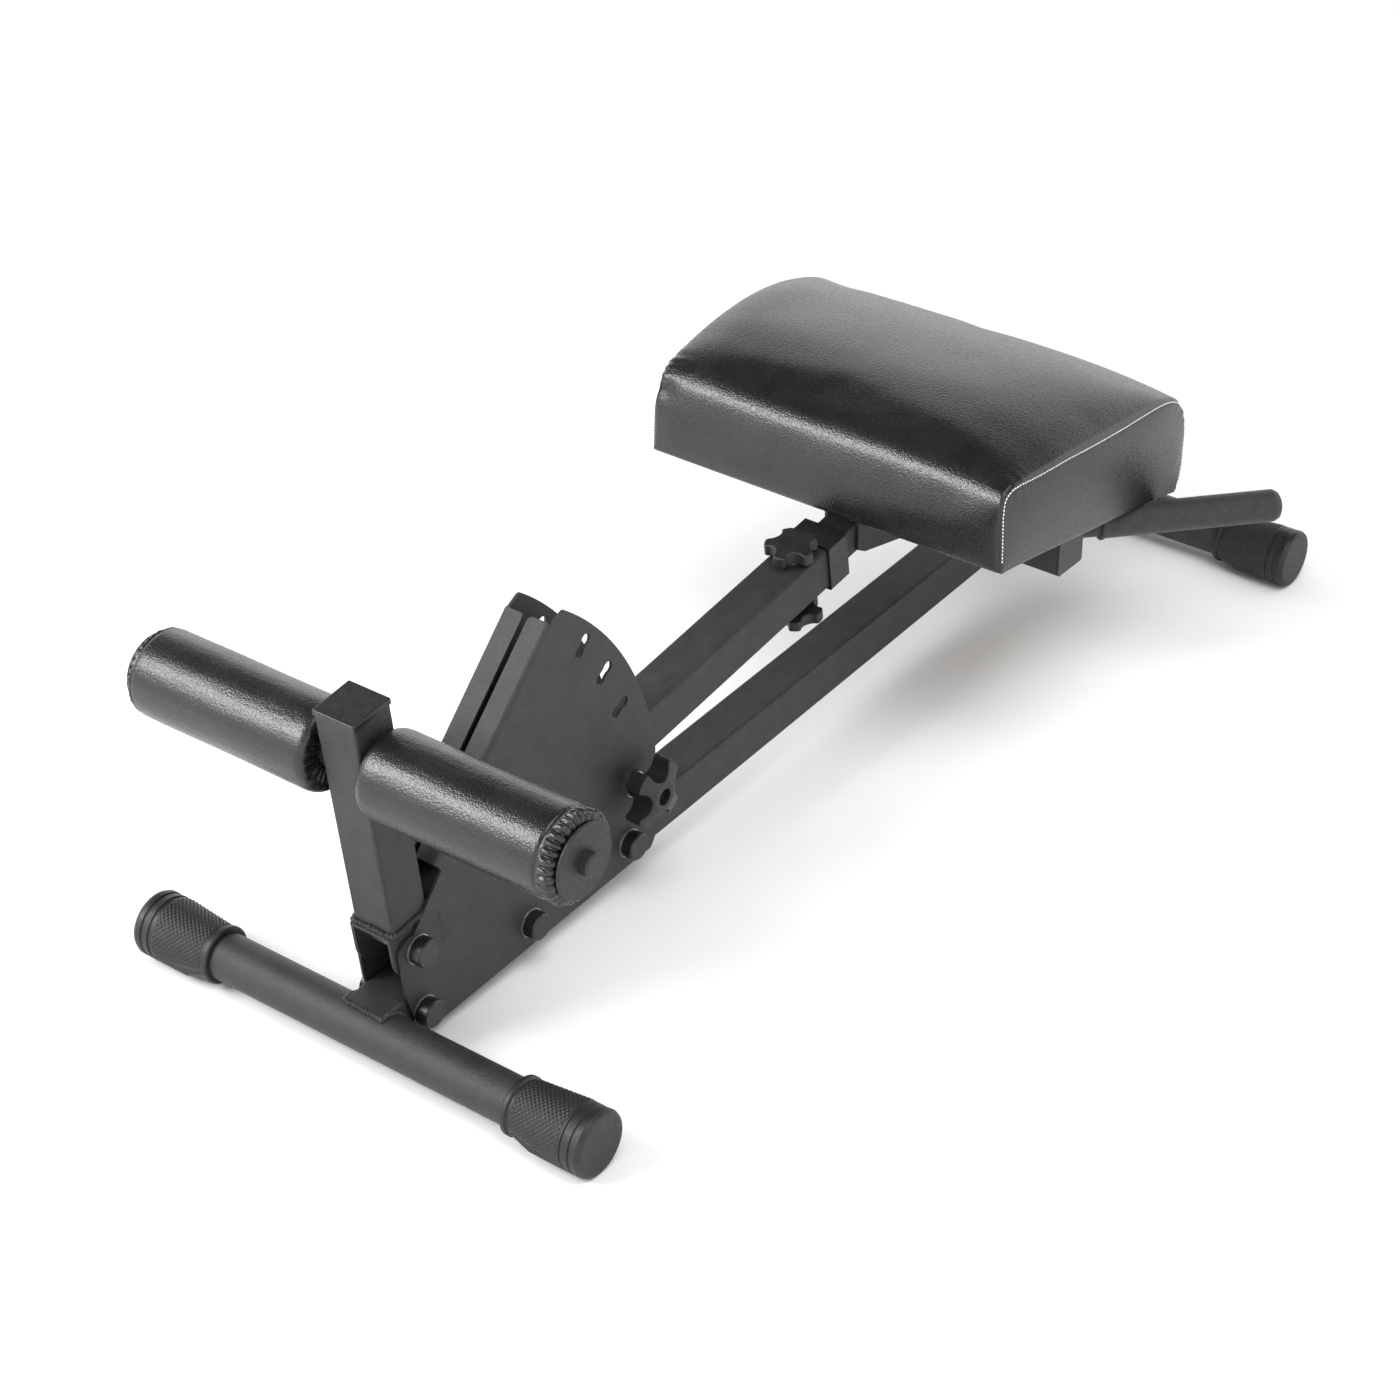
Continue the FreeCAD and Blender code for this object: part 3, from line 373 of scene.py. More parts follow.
# ---- Cloth ------------------------------------------------------------------------------------
CLOTH_FRAMES = 20
CLOTH_STIFFNESS = 18
CLOTH_PRESSURE = 4.0


def inflate(piece, pins, cap):
    """Puffs a skin up by cloth simulation and keeps the result, no point moving more than cap."""
    scene = bpy.context.scene
    rest = coordinates(piece.data)
    group = piece.vertex_groups.new(name="pins")
    for weight in np.unique(pins):
        if weight > 0:
            group.add([int(k) for k in np.flatnonzero(pins == weight)], float(weight), "REPLACE")
    cloth = piece.modifiers.new("cloth", "CLOTH")
    settings = cloth.settings
    settings.quality = 6
    settings.mass = 0.3
    settings.tension_stiffness = CLOTH_STIFFNESS
    settings.compression_stiffness = CLOTH_STIFFNESS
    settings.shear_stiffness = CLOTH_STIFFNESS / 2
    settings.bending_stiffness = 1.5
    settings.use_pressure = True
    settings.uniform_pressure_force = CLOTH_PRESSURE
    settings.effector_weights.gravity = 0
    settings.vertex_group_mass = "pins"
    cloth.point_cache.frame_start = 1
    cloth.point_cache.frame_end = CLOTH_FRAMES
    for number in range(1, CLOTH_FRAMES + 1):
        scene.frame_set(number)
    puffed = coordinates(piece.evaluated_get(bpy.context.evaluated_depsgraph_get()).data)
    piece.modifiers.remove(cloth)
    piece.vertex_groups.remove(group)
    scene.frame_set(1)
    move = puffed - rest
    reach = np.linalg.norm(move, axis=1, keepdims=True)
    set_coordinates(piece.data, rest + move * np.minimum(1, cap / np.maximum(reach, 1e-9)))


def relax(piece, rest, held, rounds):
    """Evens out how far a skin has moved from its rest shape, except where it is held."""
    mesh = piece.data
    edges = np.array([edge.vertices[:] for edge in mesh.edges])
    moves = coordinates(mesh) - rest
    count = np.bincount(edges.ravel(), minlength=len(moves))[:, None]
    for _ in range(rounds):
        total = np.zeros_like(moves)
        np.add.at(total, edges[:, 0], moves[edges[:, 1]])
        np.add.at(total, edges[:, 1], moves[edges[:, 0]])
        moves = np.where(held[:, None], moves, moves * 0.5 + total / count * 0.5)
    set_coordinates(mesh, rest + moves)


def subdivide(piece):
    """Splits each of a piece's faces in four, smoothly."""
    modifier = piece.modifiers.new("finer", "SUBSURF")
    modifier.levels = modifier.render_levels = 1
    evaluated = piece.evaluated_get(bpy.context.evaluated_depsgraph_get())
    finer = bpy.data.meshes.new_from_object(evaluated)
    piece.modifiers.remove(modifier)
    piece.data = finer
    finer.shade_smooth()


# ---- The hip pad ------------------------------------------------------------------------------
PAD_HALF = 0.184
PAD_SHIFT = 3 * MM
PAD_ROWS, PAD_COLUMNS, PANEL_ROWS = 96, 72, 16
# The cover's side profiles, as (x, z) in mm: at each end's seam and in the middle
PAD_OUTLINES = {
    "right": [
        (0, 0), (-4, 22), (-8, 42), (-10, 56), (-9, 67), (-3, 75), (9, 79.5), (40, 83), (85, 89),
        (150, 95), (205, 100), (240, 102), (264, 100), (283, 92), (298, 76), (307, 52), (311, 26),
        (308, 0),
    ],
    "centre": [
        (0, 0), (-4, 22), (-8, 44), (-9, 60), (-6, 74), (4, 86), (22, 95), (48, 102.5), (92, 112),
        (142, 118), (190, 121), (232, 119), (266, 110), (291, 93), (307, 69), (312, 42), (312, 16),
        (308, 0),
    ],
    "left": [
        (0, 0), (-4, 22), (-8, 44), (-9, 59), (-6, 72), (4, 82), (28, 91.5), (77, 107.5),
        (125, 118.5), (165, 123), (200, 123), (240, 118), (270, 106), (292, 87), (306, 62),
        (311, 40), (311, 16), (308, 0),
    ],
}
PAD_BULGE = 7 * MM
BULGE_HEIGHT = 0.055
# How flat the top stays before it falls to each end's seam
CROWN_POWERS = {"right": 3.4, "left": 10}
# Where each seam gathers: (part of the way along it, reach either side, strength)
EVEN_PUCKER = 0.07
PUCKERS = {
    "right": ((0.19, 14 * MM, 0.35), (0.8, 20 * MM, 0.8)),
    "left": ((0.19, 24 * MM, 1.8), (0.78, 24 * MM, 0.5)),
}
FOLD_PITCH, FOLD_RISE, FOLD_REACH = 12 * MM, 0.75 * MM, 9 * MM
SEAM_DEPTH, SEAM_WIDTH = 1.7 * MM, 2.2 * MM
# The dent in the front face where the left seam bunches up
DENT_PLACE = np.array([-9, 174, 62]) * MM
DENT_RADIUS, DENT_DEPTH = 12 * MM, 3.2 * MM
# The hem's rings under the board, as insets from its edge, and the lip it ends in
HEM_STEPS = (7 * MM, 16 * MM, 26 * MM)
PAD_LIP = 1.2 * MM
PINNED_BELOW, FLAT_BELOW = 2 * MM, 3 * MM
SEAM_PIN = 0.25
PAD_PUFF = 3.5 * MM
BROAD_RIPPLE, FINE_RIPPLE = 0.45 * MM, 0.12 * MM
RELAX_ROUNDS = 14
STITCH_LENGTH, STITCH_RADIUS, STITCH_PITCH = 2.6 * MM, 0.6 * MM, 3.4 * MM
STITCH_INSET = 2.6 * MM
STITCH_PROFILE = ((0.0, 0.15), (0.12, 0.8), (0.5, 1.0), (0.88, 0.8), (1.0, 0.15))


def pad_half_width(x, z):
    """The pad is narrowest at its board, and its end panels lean outwards above it."""
    middle = math.sin(math.pi * min(max(x / PAD_LENGTH, 0), 1)) ** 0.6
    return PAD_HALF + PAD_BULGE * smoothstep(z / BULGE_HEIGHT) * middle


def pad_skin():
    """The cover as a grid over front, top and back, two end panels and a hem under the board."""
    lines = {name: smooth_line(outline, PAD_ROWS + 1) * MM for name, outline in PAD_OUTLINES.items()}
    columns = PAD_COLUMNS + 1
    across = np.linspace(-1, 1, columns)
    points, faces = [], grid_faces(PAD_ROWS + 1, columns)
    for right, centre, left in zip(lines["right"], lines["centre"], lines["left"]):
        for t in across:
            end, power = (left, CROWN_POWERS["left"]) if t > 0 else (right, CROWN_POWERS["right"])
            crown = 1 - abs(t) ** power
            x, z = end * (1 - crown) + centre * crown
            points.append((x, t * pad_half_width(x, z), z))
    seams, edges = {}, {}
    for name, column in (("right", 0), ("left", PAD_COLUMNS)):
        seam = [i * columns + column for i in range(PAD_ROWS + 1)]
        rows = [seam]
        for k in range(1, PANEL_ROWS + 1):
            row = [seam[0]]
            for i in range(1, PAD_ROWS):
                top = Vector(points[seam[i]])
                foot = Vector((PAD_LENGTH * i / PAD_ROWS, math.copysign(PAD_HALF, top.y), 0))
                row.append(len(points))
                points.append(tuple(top.lerp(foot, k / PANEL_ROWS)))
            rows.append(row + [seam[-1]])
        for upper, lower in zip(rows, rows[1:]):
            for i in range(PAD_ROWS):
                corners = [upper[i], upper[i + 1], lower[i + 1], lower[i]]
                faces.append(tuple(dict.fromkeys(corners)))
        seams[name], edges[name] = seam, rows[-1]
    front = list(range(columns))
    rear = [PAD_ROWS * columns + j for j in range(columns)]
    loop = front[:-1] + edges["left"][:-1] + rear[:0:-1] + edges["right"][:0:-1]
    outer = loop
    half = PAD_LENGTH / 2
    for inset, lift in [(step, 0.0) for step in HEM_STEPS] + [(HEM_STEPS[-1], PAD_LIP)]:
        ring = []
        for k in loop:
            x, y, _ = points[k]
            ring.append(len(points))
            inner_x = half + (x - half) * (half - inset) / half
            points.append((inner_x, y * (PAD_HALF - inset) / PAD_HALF, lift))
        for a in range(len(loop)):
            b = (a + 1) % len(loop)
            faces.append((outer[a], outer[b], ring[b], ring[a]))
        outer = ring
    return np.array(points), faces, seams


def pucker(points, normals, seam, side, seed):
    """Pulls the skin in along a seam and gathers it, most where the seam turns a corner."""
    along = arc_length(seam)
    tree = KDTree(len(seam))
    for i, p in enumerate(seam):
        tree.insert(p, i)
    tree.balance()
    found = [tree.find(p) for p in points]
    away = np.array([f[2] for f in found])
    at = along[[f[1] for f in found]]
    gather = EVEN_PUCKER + sum(
        size * np.exp(-(((at - place * along[-1]) / width) ** 2)) for place, width, size in PUCKERS[side]
    )
    wander = np.array([noise.noise(Vector((s * 45, seed, 0.3))) for s in at])
    size = np.array([noise.noise(Vector((s * 28, seed, 7.7))) for s in at])
    folds = np.sin(2 * math.pi * at / FOLD_PITCH + 5 * wander) * (0.7 + 0.9 * size)
    reach = FOLD_REACH + FOLD_REACH * np.clip(size, 0, 1)
    rise = folds * gather * FOLD_RISE * np.exp(-away / reach) * smoothstep(away / (3 * MM))
    groove = -SEAM_DEPTH * np.exp(-((away / SEAM_WIDTH) ** 2))
    return points + normals * (rise + groove)[:, None]


def resampled(line, spacing):
    """A line cut into points about that far apart."""
    return evenly(line, max(2, int(arc_length(line)[-1] / spacing)))


def stitches(side, line, surface):
    """A row of short threads on the pad's surface, along a line that runs just above it."""
    tree = BVHTree.FromObject(surface, bpy.context.evaluated_depsgraph_get())
    sides = 6
    points, faces = [], []
    marks = resampled(line, STITCH_PITCH)
    for a, b in zip(marks, marks[1:]):
        spot, up, _, _ = tree.find_nearest(Vector((a + b) / 2))
        ahead = (Vector(b) - Vector(a)).normalized()
        across = up.cross(ahead).normalized()
        first = len(points)
        for part, thick in STITCH_PROFILE:
            arch = STITCH_RADIUS * (0.1 + 0.5 * math.sin(math.pi * part))
            centre = spot + ahead * (part - 0.5) * STITCH_LENGTH + up * arch
            for k in range(sides):
                turn = 2 * math.pi * k / sides
                spoke = across * math.cos(turn) + up * math.sin(turn)
                points.append(centre + spoke * STITCH_RADIUS * thick)
        thread_faces = grid_faces(len(STITCH_PROFILE), sides, closed=True)
        faces += [tuple(first + v for v in face) for face in thread_faces]
        faces.append(tuple(range(first, first + sides)))
        faces.append(tuple(range(len(points) - sides, len(points))))
    return add_piece("pad_stitches_" + side, points, faces, THREAD, "slider")


def hip_pad():
    """The pad's cover, puffed up, drawn in along its seams and stitched."""
    points, faces, seams = pad_skin()
    pad = add_piece("hip_pad_cover", points, faces, MATERIALS["pad_cover"], "slider")
    held = points[:, 2] < PINNED_BELOW
    pins = np.where(held, 1.0, 0.0)
    for seam in seams.values():
        pins[seam] = np.maximum(pins[seam], SEAM_PIN)
        held[seam] = True
    inflate(pad, pins, PAD_PUFF)
    relax(pad, points, held, RELAX_ROUNDS)
    lines = {name: coordinates(pad.data)[seam] for name, seam in seams.items()}
    subdivide(pad)
    skin = coordinates(pad.data)
    for seed, (side, line) in enumerate(lines.items(), 1):
        skin = pucker(skin, vertex_normals(pad.data), resampled(line, 1.0 * MM), side, seed)
    low = skin[:, 2] < FLAT_BELOW
    drape = waves(skin * (1, 1, 0.6), 11, 5) * BROAD_RIPPLE + waves(skin, 33, 9) * FINE_RIPPLE
    drape -= DENT_DEPTH * np.exp(-((np.linalg.norm(skin - DENT_PLACE, axis=1) / DENT_RADIUS) ** 2))
    skin += vertex_normals(pad.data) * np.where(low, 0, drape)[:, None]
    set_coordinates(pad.data, skin)
    place = PAD_FRAME @ Matrix.Translation((0, PAD_SHIFT, 0))
    for side, line in lines.items():
        inward = np.array([PAD_LENGTH / 2, 0, 0.045]) - line
        inward[:, 1] = 0
        inward /= np.linalg.norm(inward, axis=1, keepdims=True)
        row = line + inward * STITCH_INSET + np.array([0, SIDES[side] * 1 * MM, 0])
        stitches(side, row[2:-2], pad).data.transform(place)
    pad.data.transform(place)
    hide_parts("pad_cover", "pad_foam")


STAPLE_WIDTH, STAPLE_WIRE, STAPLE_LIFT = 10 * MM, 0.6 * MM, 0.5 * MM
STAPLE_INSET = 19 * MM
# One staple seen from the side, as (parts of its width, lifts): leg, crown, leg
STAPLE_PATH = ((-0.5, 1.2), (-0.5, -0.2), (-0.42, -1.0), (0.42, -1.0), (0.5, -0.2), (0.5, 1.2))


def staples():
    """The staples that hold the cover's hem to the board."""
    spots = []
    for x in np.linspace(0.03, PAD_LENGTH - 0.03, 9):
        spots += [(x, PAD_HALF - STAPLE_INSET, 1), (x, STAPLE_INSET - PAD_HALF, 1)]
    for y in np.linspace(0.035 - PAD_HALF, PAD_HALF - 0.035, 11):
        spots += [(STAPLE_INSET, y, 0), (PAD_LENGTH - STAPLE_INSET, y, 0)]
    points, faces = [], []
    for x, y, lengthwise in spots:
        first = len(points)
        for part, level in STAPLE_PATH:
            crown = abs(part) < 0.45
            for p, q in ((-0.5, -0.5), (0.5, -0.5), (0.5, 0.5), (-0.5, 0.5)):
                along = part * STAPLE_WIDTH
                along += 0 if crown else q * STAPLE_WIRE * math.copysign(1, part)
                across = p * STAPLE_WIRE
                spread = (along, across) if lengthwise else (across, along)
                z = level * STAPLE_LIFT + (q * STAPLE_WIRE if crown else 0)
                points.append((x + spread[0], y + spread[1], z))
        staple = grid_faces(len(STAPLE_PATH), 4, closed=True)
        faces += [tuple(first + v for v in face) for face in staple]
    steel = MATERIALS["fastener_steel"]
    row = add_piece("pad_staples", points, faces, steel, "slider")
    row.data.transform(PAD_FRAME)


# ---- The ankle rollers ------------------------------------------------------------------------
SLEEVE_TURNS = 288
SLEEVE_ROWS = 150
SLEEVE_SLACK, SLEEVE_CREASE = 0.45 * MM, 0.1 * MM
# How far from the outer end the seam runs, beyond which the sleeve is pleated
GATHER = {"left": 7 * MM, "right": 14 * MM}
OUTER_PLEATS, INNER_PLEATS = 31, 21
OUTER_PLEAT_RISE, OUTER_PLEAT_SINK = 3.4 * MM, 2.5 * MM
INNER_PLEAT_RISE, INNER_PLEAT_SINK = 3.0 * MM, 3.2 * MM
SLEEVE_SEAM_DEPTH, SLEEVE_SEAM_WIDTH = 0.9 * MM, 1.1 * MM


def sleeve_outline(gather):
    """(distance along the roller, radius) of the sleeve, from throat to throat, in metres."""
    length, seam = ROLLER_LENGTH / MM, (ROLLER_LENGTH - gather) / MM
    inner = [
        (2.2, 15.6), (1.4, 18), (1.0, 22), (0.9, 27), (1.3, 31), (3.0, 34.2), (6.5, 35.9), (12, 36.4),
    ]
    middle = [(30, 36.3), (60, 36.2), (100, 36.2), (length - 50, 36.2), (length - 24, 36.3)]
    outer = [
        (seam - 3, 36.2), (seam - 0.6, 35.9), (seam + 0.4, 35.5), (seam + 1.4, 35.8), (length - 5.5, 35.7),
        (length - 3.0, 34.0), (length - 1.3, 31.4), (length - 0.6, 28.0), (length - 0.5, 22.0),
    ]
    return smooth_line(inner + middle + outer, SLEEVE_ROWS) * MM


def pleat_shape(count, seed):
    """For each turn round the sleeve, 0 in the folds between pleats to 1 on their crests."""
    rng = np.random.default_rng(seed)
    widths = rng.uniform(0.65, 1.35, count)
    edges = np.concatenate([[0], np.cumsum(widths)]) / widths.sum()
    heights = rng.uniform(0.7, 1.15, count)
    at = (np.arange(SLEEVE_TURNS) + 0.5) / SLEEVE_TURNS
    which = np.clip(np.searchsorted(edges, at, side="right") - 1, 0, count - 1)
    part = (at - edges[which]) / (edges[which + 1] - edges[which])
    return np.sin(math.pi * part) ** 0.7 * heights[which]


def roller_sleeve(name, side, seed):
    """A sleeve drawn in round the bar at both ends: creased by its seam, pleated and gathered."""
    outline = sleeve_outline(GATHER[name])
    along, radius = outline[:, 0], outline[:, 1]
    steps = np.gradient(outline, axis=0)
    normal = np.stack([-steps[:, 1], steps[:, 0]], axis=1)
    normal /= np.linalg.norm(normal, axis=1, keepdims=True)
    turns = 2 * math.pi * np.arange(SLEEVE_TURNS) / SLEEVE_TURNS
    outer_pleats = pleat_shape(OUTER_PLEATS, seed)
    inner_pleats = pleat_shape(INNER_PLEATS, seed + 10)
    start = ROLLER_LENGTH - GATHER[name]
    outer = smoothstep((along - start - 1 * MM) / (4 * MM)) * smoothstep((radius - 25 * MM) / (3 * MM))
    inner = smoothstep((34.5 * MM - radius) / (9 * MM)) * (along < 0.02)
    seam = np.exp(-(((along - start) / SLEEVE_SEAM_WIDTH) ** 2))
    points = []
    for i in range(SLEEVE_ROWS):
        rise = outer[i] * (outer_pleats * OUTER_PLEAT_RISE - OUTER_PLEAT_SINK)
        rise = rise + inner[i] * (inner_pleats * INNER_PLEAT_RISE - INNER_PLEAT_SINK)
        rise = rise - seam[i] * SLEEVE_SEAM_DEPTH
        slack = smoothstep((along[i] - 6 * MM) / 0.02) * smoothstep((ROLLER_LENGTH - along[i]) / 0.03)
        for turn, lift in zip(turns, rise):
            spot = Vector((math.cos(turn) * 1.6, along[i] * 14, math.sin(turn) * 1.6))
            fine = Vector((math.cos(turn) * 9, along[i] * 46, math.sin(turn) * 9))
            loose = noise.noise(spot + Vector((seed, 0, 0))) * SLEEVE_SLACK * slack
            loose += noise.noise(fine) * SLEEVE_CREASE * slack
            s = along[i] + normal[i, 0] * lift
            r = radius[i] + normal[i, 1] * lift + loose
            y = side * min(s, ROLLER_LENGTH - 0.3 * MM)
            points.append((r * math.cos(turn), y, r * math.sin(turn)))
    faces = grid_faces(SLEEVE_ROWS, SLEEVE_TURNS, closed=True)
    cover = MATERIALS["roller_cover"]
    sleeve = add_piece("roller_sleeve_" + name, points, faces, cover, "roller_" + name)
    place = Matrix.Translation((ROLLER_AXIS[0], side * ROLLER_START[name], ROLLER_AXIS[1]))
    sleeve.data.transform(ARM_FRAME @ place)
    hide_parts("roller_cover_" + name, "roller_foam_" + name)


# ---- Welds ------------------------------------------------------------------------------------
WELD_SIDES = 10
WELD_STEP, WELD_RIPPLE = 0.55 * MM, 2.6 * MM
WELD_DRIFT = 0.5 * MM
WELD_LIFT = 0.3 * MM


def weld(name, line, body, seed, radius=2.3 * MM, closed=False):
    """A ripple of weld along a line, with the run's usual unevenness, under the powder coat."""
    line = np.asarray(line, float)
    if closed:
        line = np.vstack([line, line[:1]])
    along = arc_length(line)[-1]
    count = max(8, int(along / WELD_STEP))
    centre = evenly(line, count + 1)
    if closed:
        centre = centre[:-1]
    ahead = np.roll(centre, -1, axis=0) - np.roll(centre, 1, axis=0)
    if not closed:
        ahead[0], ahead[-1] = centre[1] - centre[0], centre[-1] - centre[-2]
    points, sides = [], WELD_SIDES
    for i, (spot, way) in enumerate(zip(centre, ahead)):
        way = Vector(way).normalized()
        side = way.cross(Vector((0.31, 0.52, 0.79))).normalized()
        up = way.cross(side)
        s = i * along / count
        wander = noise.noise(Vector((s * 210, seed * 3.1, 0)))
        ripple = 0.5 + 0.5 * math.cos(2 * math.pi * (s / WELD_RIPPLE + 0.3 * wander))
        thick = radius * (0.85 + 0.6 * ripple + 0.4 * wander)
        if not closed:
            thick *= 0.25 + 0.75 * min(1, i / 3, (len(centre) - 1 - i) / 3)
        drift = (side * wander + up * noise.noise(Vector((s * 160, seed, 9)))) * WELD_DRIFT
        for k in range(sides):
            turn = 2 * math.pi * k / sides
            spoke = side * math.cos(turn) + up * math.sin(turn)
            points.append(Vector(spot) + drift + spoke * thick)
    faces = grid_faces(len(centre), sides, closed=True)
    if closed:
        last = (len(centre) - 1) * sides
        faces += [(last + k, last + (k + 1) % sides, (k + 1) % sides, k) for k in range(sides)]
    else:
        faces += [tuple(range(sides)), tuple(range(len(points) - sides, len(points)))]
    return add_piece(name, points, faces, MATERIALS["frame_coat"], body)


def square_ring(half_a, half_b, corner=3 * MM):
    """A closed rounded square as (a, b) pairs."""
    ring = []
    for quarter in range(4):
        centre_a = (half_a - corner) * (1 if quarter in (0, 3) else -1)
        centre_b = (half_b - corner) * (1 if quarter in (0, 1) else -1)
        for step in range(5):
            turn = math.pi / 2 * (quarter + step / 4)
            ring.append((centre_a + corner * math.cos(turn), centre_b + corner * math.sin(turn)))
    return ring


def on_foot_tube(foot_x, y, angles):
    """Points on a foot tube's skin, at angles from straight up, forward being negative."""
    reach = FOOT_TUBE_R + 0.4 * MM
    turns = [math.radians(angle) for angle in angles]
    ring = [(reach * math.sin(turn), y, reach * math.cos(turn)) for turn in turns]
    return np.array(ring) + (foot_x, 0, FOOT_Z)


def handle_root(side):
    """The slanted ring where a handle meets the cross tube."""
    slant = math.cos(math.radians(HANDLE_ANGLE))
    ring = []
    for k in range(40):
        turn = 2 * math.pi * k / 40
        y = side * HANDLE_ROOT_Y + HANDLE_R * math.cos(turn) / slant
        ring.append((CROSS_TUBE_REAR + 0.2 * MM, y, CROSS_TUBE_Z + HANDLE_R * math.sin(turn)))
    return ring


def welds():
    half = TUBE / 2 + WELD_LIFT
    foot = moved(ARM_FRAME, [(u, y, BRACKET_TOP) for u, y in square_ring(half, half)])
    weld("weld_upright", foot, "arm", 1, closed=True)
    ring = moved(ARM_FRAME, [(ARM_TUBE_START, y, w) for y, w in square_ring(half, half)])
    weld("weld_arm", ring, "arm", 2, closed=True)
    over = on_foot_tube(-FOOT_X, half, range(118, -16, -8))
    back = on_foot_tube(-FOOT_X, -half, range(-14, 120, 8))
    weld("weld_front_foot", np.vstack([over, back]), "base", 3, radius=2.1 * MM)
    for number, (name, side) in enumerate(SIDES.items(), 4):
        arc = on_foot_tube(FOOT_X, side * (half + 3.1 * MM), range(-78, 60, 6))
        weld("weld_rear_foot_" + name, arc, "base", number)
        ring = handle_root(side)
        weld("weld_handle_" + name, ring, "slider", number + 2, radius=1.7 * MM, closed=True)
        low = CROSS_TUBE_Z + TUBE / 2
        cheek = side * (0.015 + 3.1 * MM)
        top = [(CROSS_TUBE_REAR - TUBE + 2 * MM, cheek, low), (CROSS_TUBE_REAR - 6 * MM, cheek, low)]
        weld("weld_cheek_" + name, top, "slider", number + 4, radius=1.6 * MM)


# ---- Knurling on the foot caps ----------------------------------------------------------------
KNURL_START, KNURL_END = 7.5 * MM, 57.5 * MM
KNURL_PITCH = 4.2 * MM
KNURL_RISE = 1.1 * MM
KNURL_ROWS, KNURL_COLUMNS = 84, 230
KNURL_R = 25 * MM
# The degrees it goes round to either side of the top: at the cap's mouth, and how many more at its end
KNURL_SPREAD, KNURL_SPREAD_MORE = 96, 32


def cap_radius(s):
    """The cap's radius at a distance s from its mouth, over the knurled stretch."""
    neck, flare = (6 * MM, 22.8 * MM), (59 * MM, 27.5 * MM)
    return neck[1] + (flare[1] - neck[1]) * (s - neck[0]) / (flare[0] - neck[0])


def knurl(name, x, side):
    """A band of raised diamonds over the cap, which leaves the sole side smooth."""
    rows, columns = KNURL_ROWS, KNURL_COLUMNS
    points = []
    for i in range(rows):
        part = i / (rows - 1)
        s = KNURL_START + (KNURL_END - KNURL_START) * part
        limit = math.radians(KNURL_SPREAD + KNURL_SPREAD_MORE * part)
        for j in range(columns):
            turn = limit * (2 * j / (columns - 1) - 1)
            arc = turn * KNURL_R
            cell_a = abs(((arc + s) / KNURL_PITCH) % 1 - 0.5) * 2
            cell_b = abs(((arc - s) / KNURL_PITCH) % 1 - 0.5) * 2
            border = min(i, rows - 1 - i, j, columns - 1 - j) / 3
            rise = min(cell_a, cell_b) * KNURL_RISE * min(1, border) + 0.05 * MM
            if border == 0:
                rise = -0.25 * MM
            r = cap_radius(s) + rise
            y = side * (CAP_END_Y - CAP_LENGTH + s)
            points.append((x + r * math.sin(turn), y, FOOT_Z + r * math.cos(turn)))
    add_piece(name, points, grid_faces(rows, columns), MATERIALS["cap_plastic"], "base")


def knurled_caps():
    for end, x in (("front", -FOOT_X), ("rear", FOOT_X)):
        for name, side in SIDES.items():
            knurl("knurl_%s_%s" % (end, name), x, side)


# ---- Stage ------------------------------------------------------------------------------------
SKY_LIGHT, SKY_HORIZON, SKY_CEILING = 0.85, 2.1, 0.05
# The heights, as parts of the way up the sky, between which its gloss fades to the ceiling
SKY_FADE = (0.34, 0.66)
FLOOR_HALF, FLOOR_DROP = 60.0, 0.3 * MM
# The softboxes: name, place, the place they face, width, height, power
LIGHTS = (
    ("key", (-2.1, 1.4, 1.75), (-0.1, 0, 0.15), 1.5, 1.0, 78),
    ("top", (-0.7, -1.3, 3.4), (0, 0, 0), 2.4, 2.4, 70),
)
CAMERA_PLACE, CAMERA_TURN = (-1.906, -1.354, 1.554), (57.282, 0, -52.97)
CAMERA_LENS, CAMERA_SENSOR = 81.23, 36


def add_light(name, place, target, width, height, power):
    """A rectangular softbox that faces a target."""
    lamp = bpy.data.lights.new(name, "AREA")
    lamp.shape = "RECTANGLE"
    lamp.size, lamp.size_y = width, height
    lamp.energy = power
    light = bpy.data.objects.new(name, lamp)
    light.location = place
    light.rotation_euler = (Vector(target) - Vector(place)).to_track_quat("-Z", "Y").to_euler()
    bpy.context.scene.collection.objects.link(light)


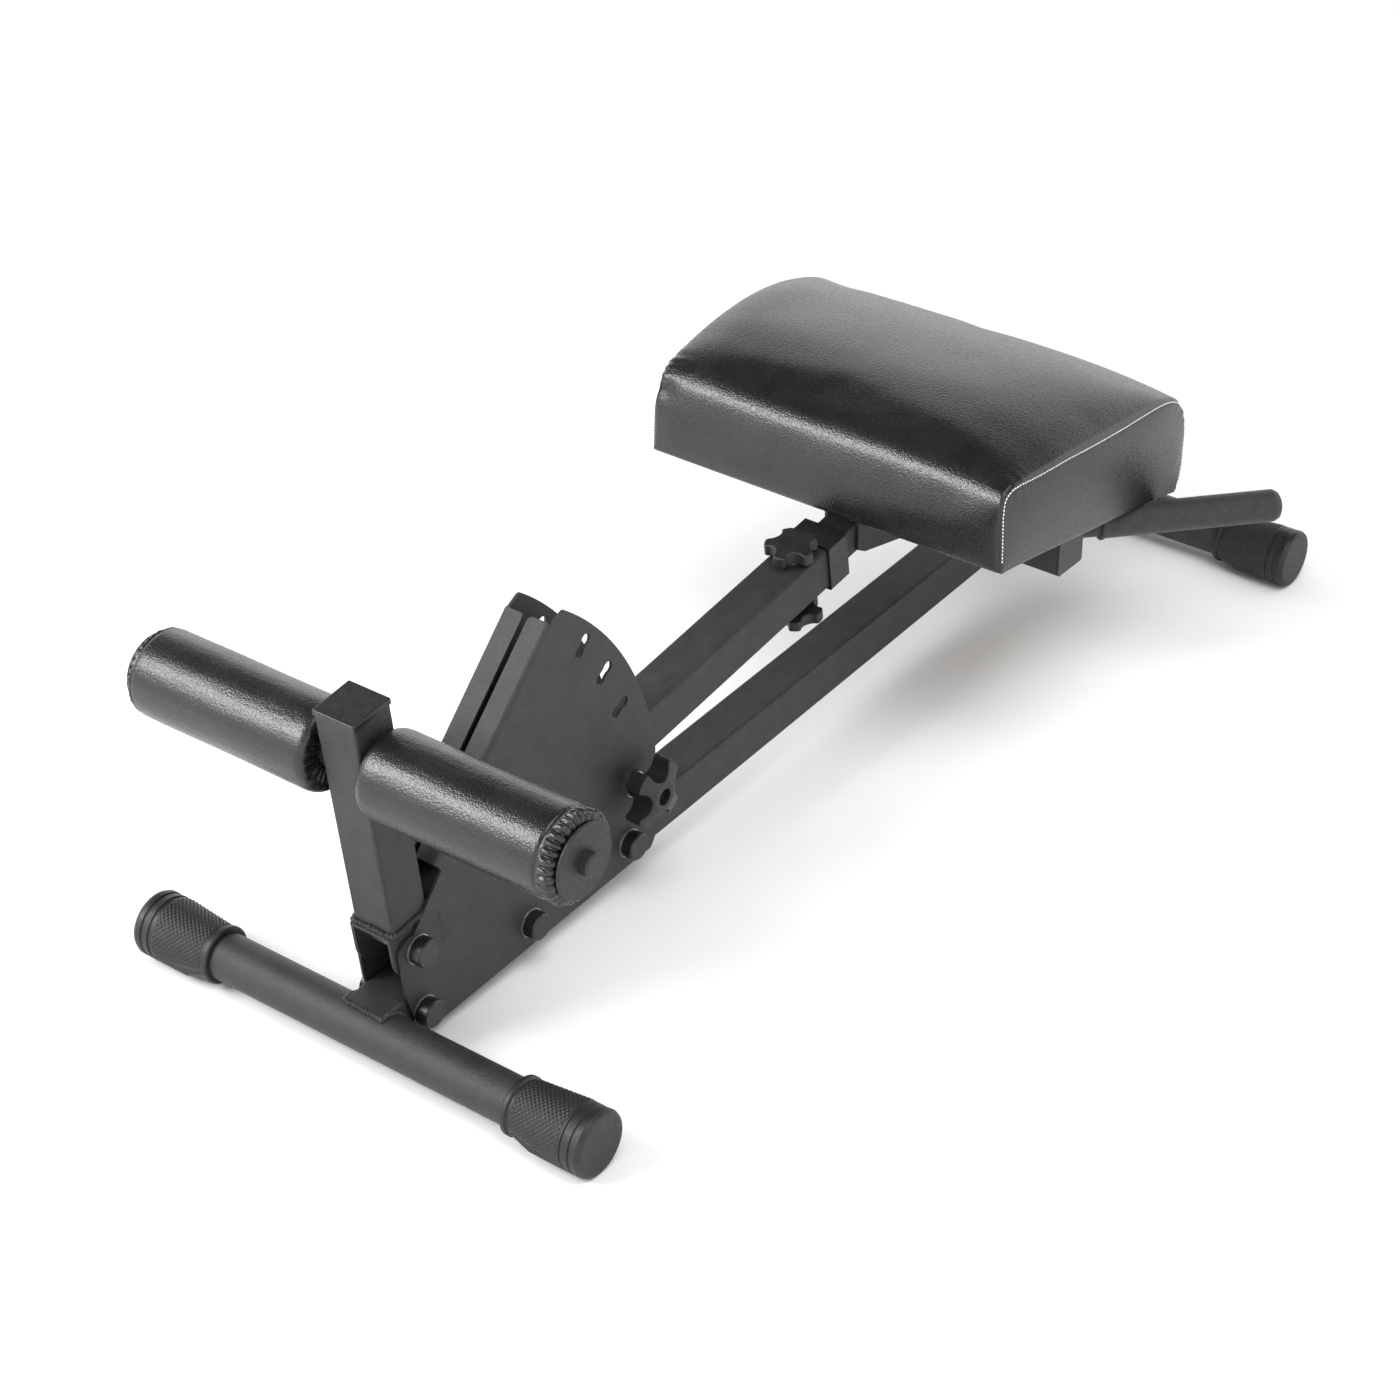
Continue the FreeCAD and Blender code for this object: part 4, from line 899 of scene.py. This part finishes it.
def stage():
    """A pale floor just under the feet, an even sky and two softboxes."""
    corners = [(x * FLOOR_HALF, y * FLOOR_HALF, 0) for x, y in ((-1, -1), (1, -1), (1, 1), (-1, 1))]
    mesh = bpy.data.meshes.new("floor")
    mesh.from_pydata(corners, [], [(0, 1, 2, 3)])
    mesh.materials.append(floor_paint())
    floor = bpy.data.objects.new("floor", mesh)
    floor.location.z = -FLOOR_DROP
    bpy.context.scene.collection.objects.link(floor)
    studio_sky()
    for light in LIGHTS:
        add_light(*light)


def studio_sky():
    """Even light all round, seen in gloss as a bright horizon under a dark ceiling."""
    world = bpy.data.worlds.new("studio")
    world.use_nodes = True
    tree = world.node_tree
    background = tree.nodes["Background"]
    background.inputs["Color"].default_value = (1, 1, 1, 1)
    place = tree.nodes.new("ShaderNodeTexCoord")
    split = tree.nodes.new("ShaderNodeSeparateXYZ")
    height = tree.nodes.new("ShaderNodeMapRange")
    rays = tree.nodes.new("ShaderNodeLightPath")
    choice = tree.nodes.new("ShaderNodeMix")
    height.inputs["From Min"].default_value, height.inputs["From Max"].default_value = SKY_FADE
    height.inputs["To Min"].default_value = SKY_HORIZON
    height.inputs["To Max"].default_value = SKY_CEILING
    choice.inputs["A"].default_value = SKY_LIGHT
    tree.links.new(place.outputs["Generated"], split.inputs["Vector"])
    tree.links.new(split.outputs["Z"], height.inputs["Value"])
    tree.links.new(rays.outputs["Is Glossy Ray"], choice.inputs["Factor"])
    tree.links.new(height.outputs["Result"], choice.inputs["B"])
    tree.links.new(choice.outputs["Result"], background.inputs["Strength"])
    bpy.context.scene.world = world


def camera():
    """Looks down on the bench from its front right, as a product view does."""
    data = bpy.data.cameras.new("camera")
    data.lens, data.sensor_width = CAMERA_LENS, CAMERA_SENSOR
    view = bpy.data.objects.new("camera", data)
    view.location = CAMERA_PLACE
    view.rotation_euler = [math.radians(angle) for angle in CAMERA_TURN]
    bpy.context.scene.collection.objects.link(view)
    bpy.context.scene.camera = view


# ---- The whole picture ------------------------------------------------------------------------
camera()
stage()
bpy.context.scene.view_settings.view_transform = "Standard"
dress_model()
hip_pad()
staples()
for order, (side_name, side_sign) in enumerate(SIDES.items(), 1):
    roller_sleeve(side_name, side_sign, order)
welds()
knurled_caps()
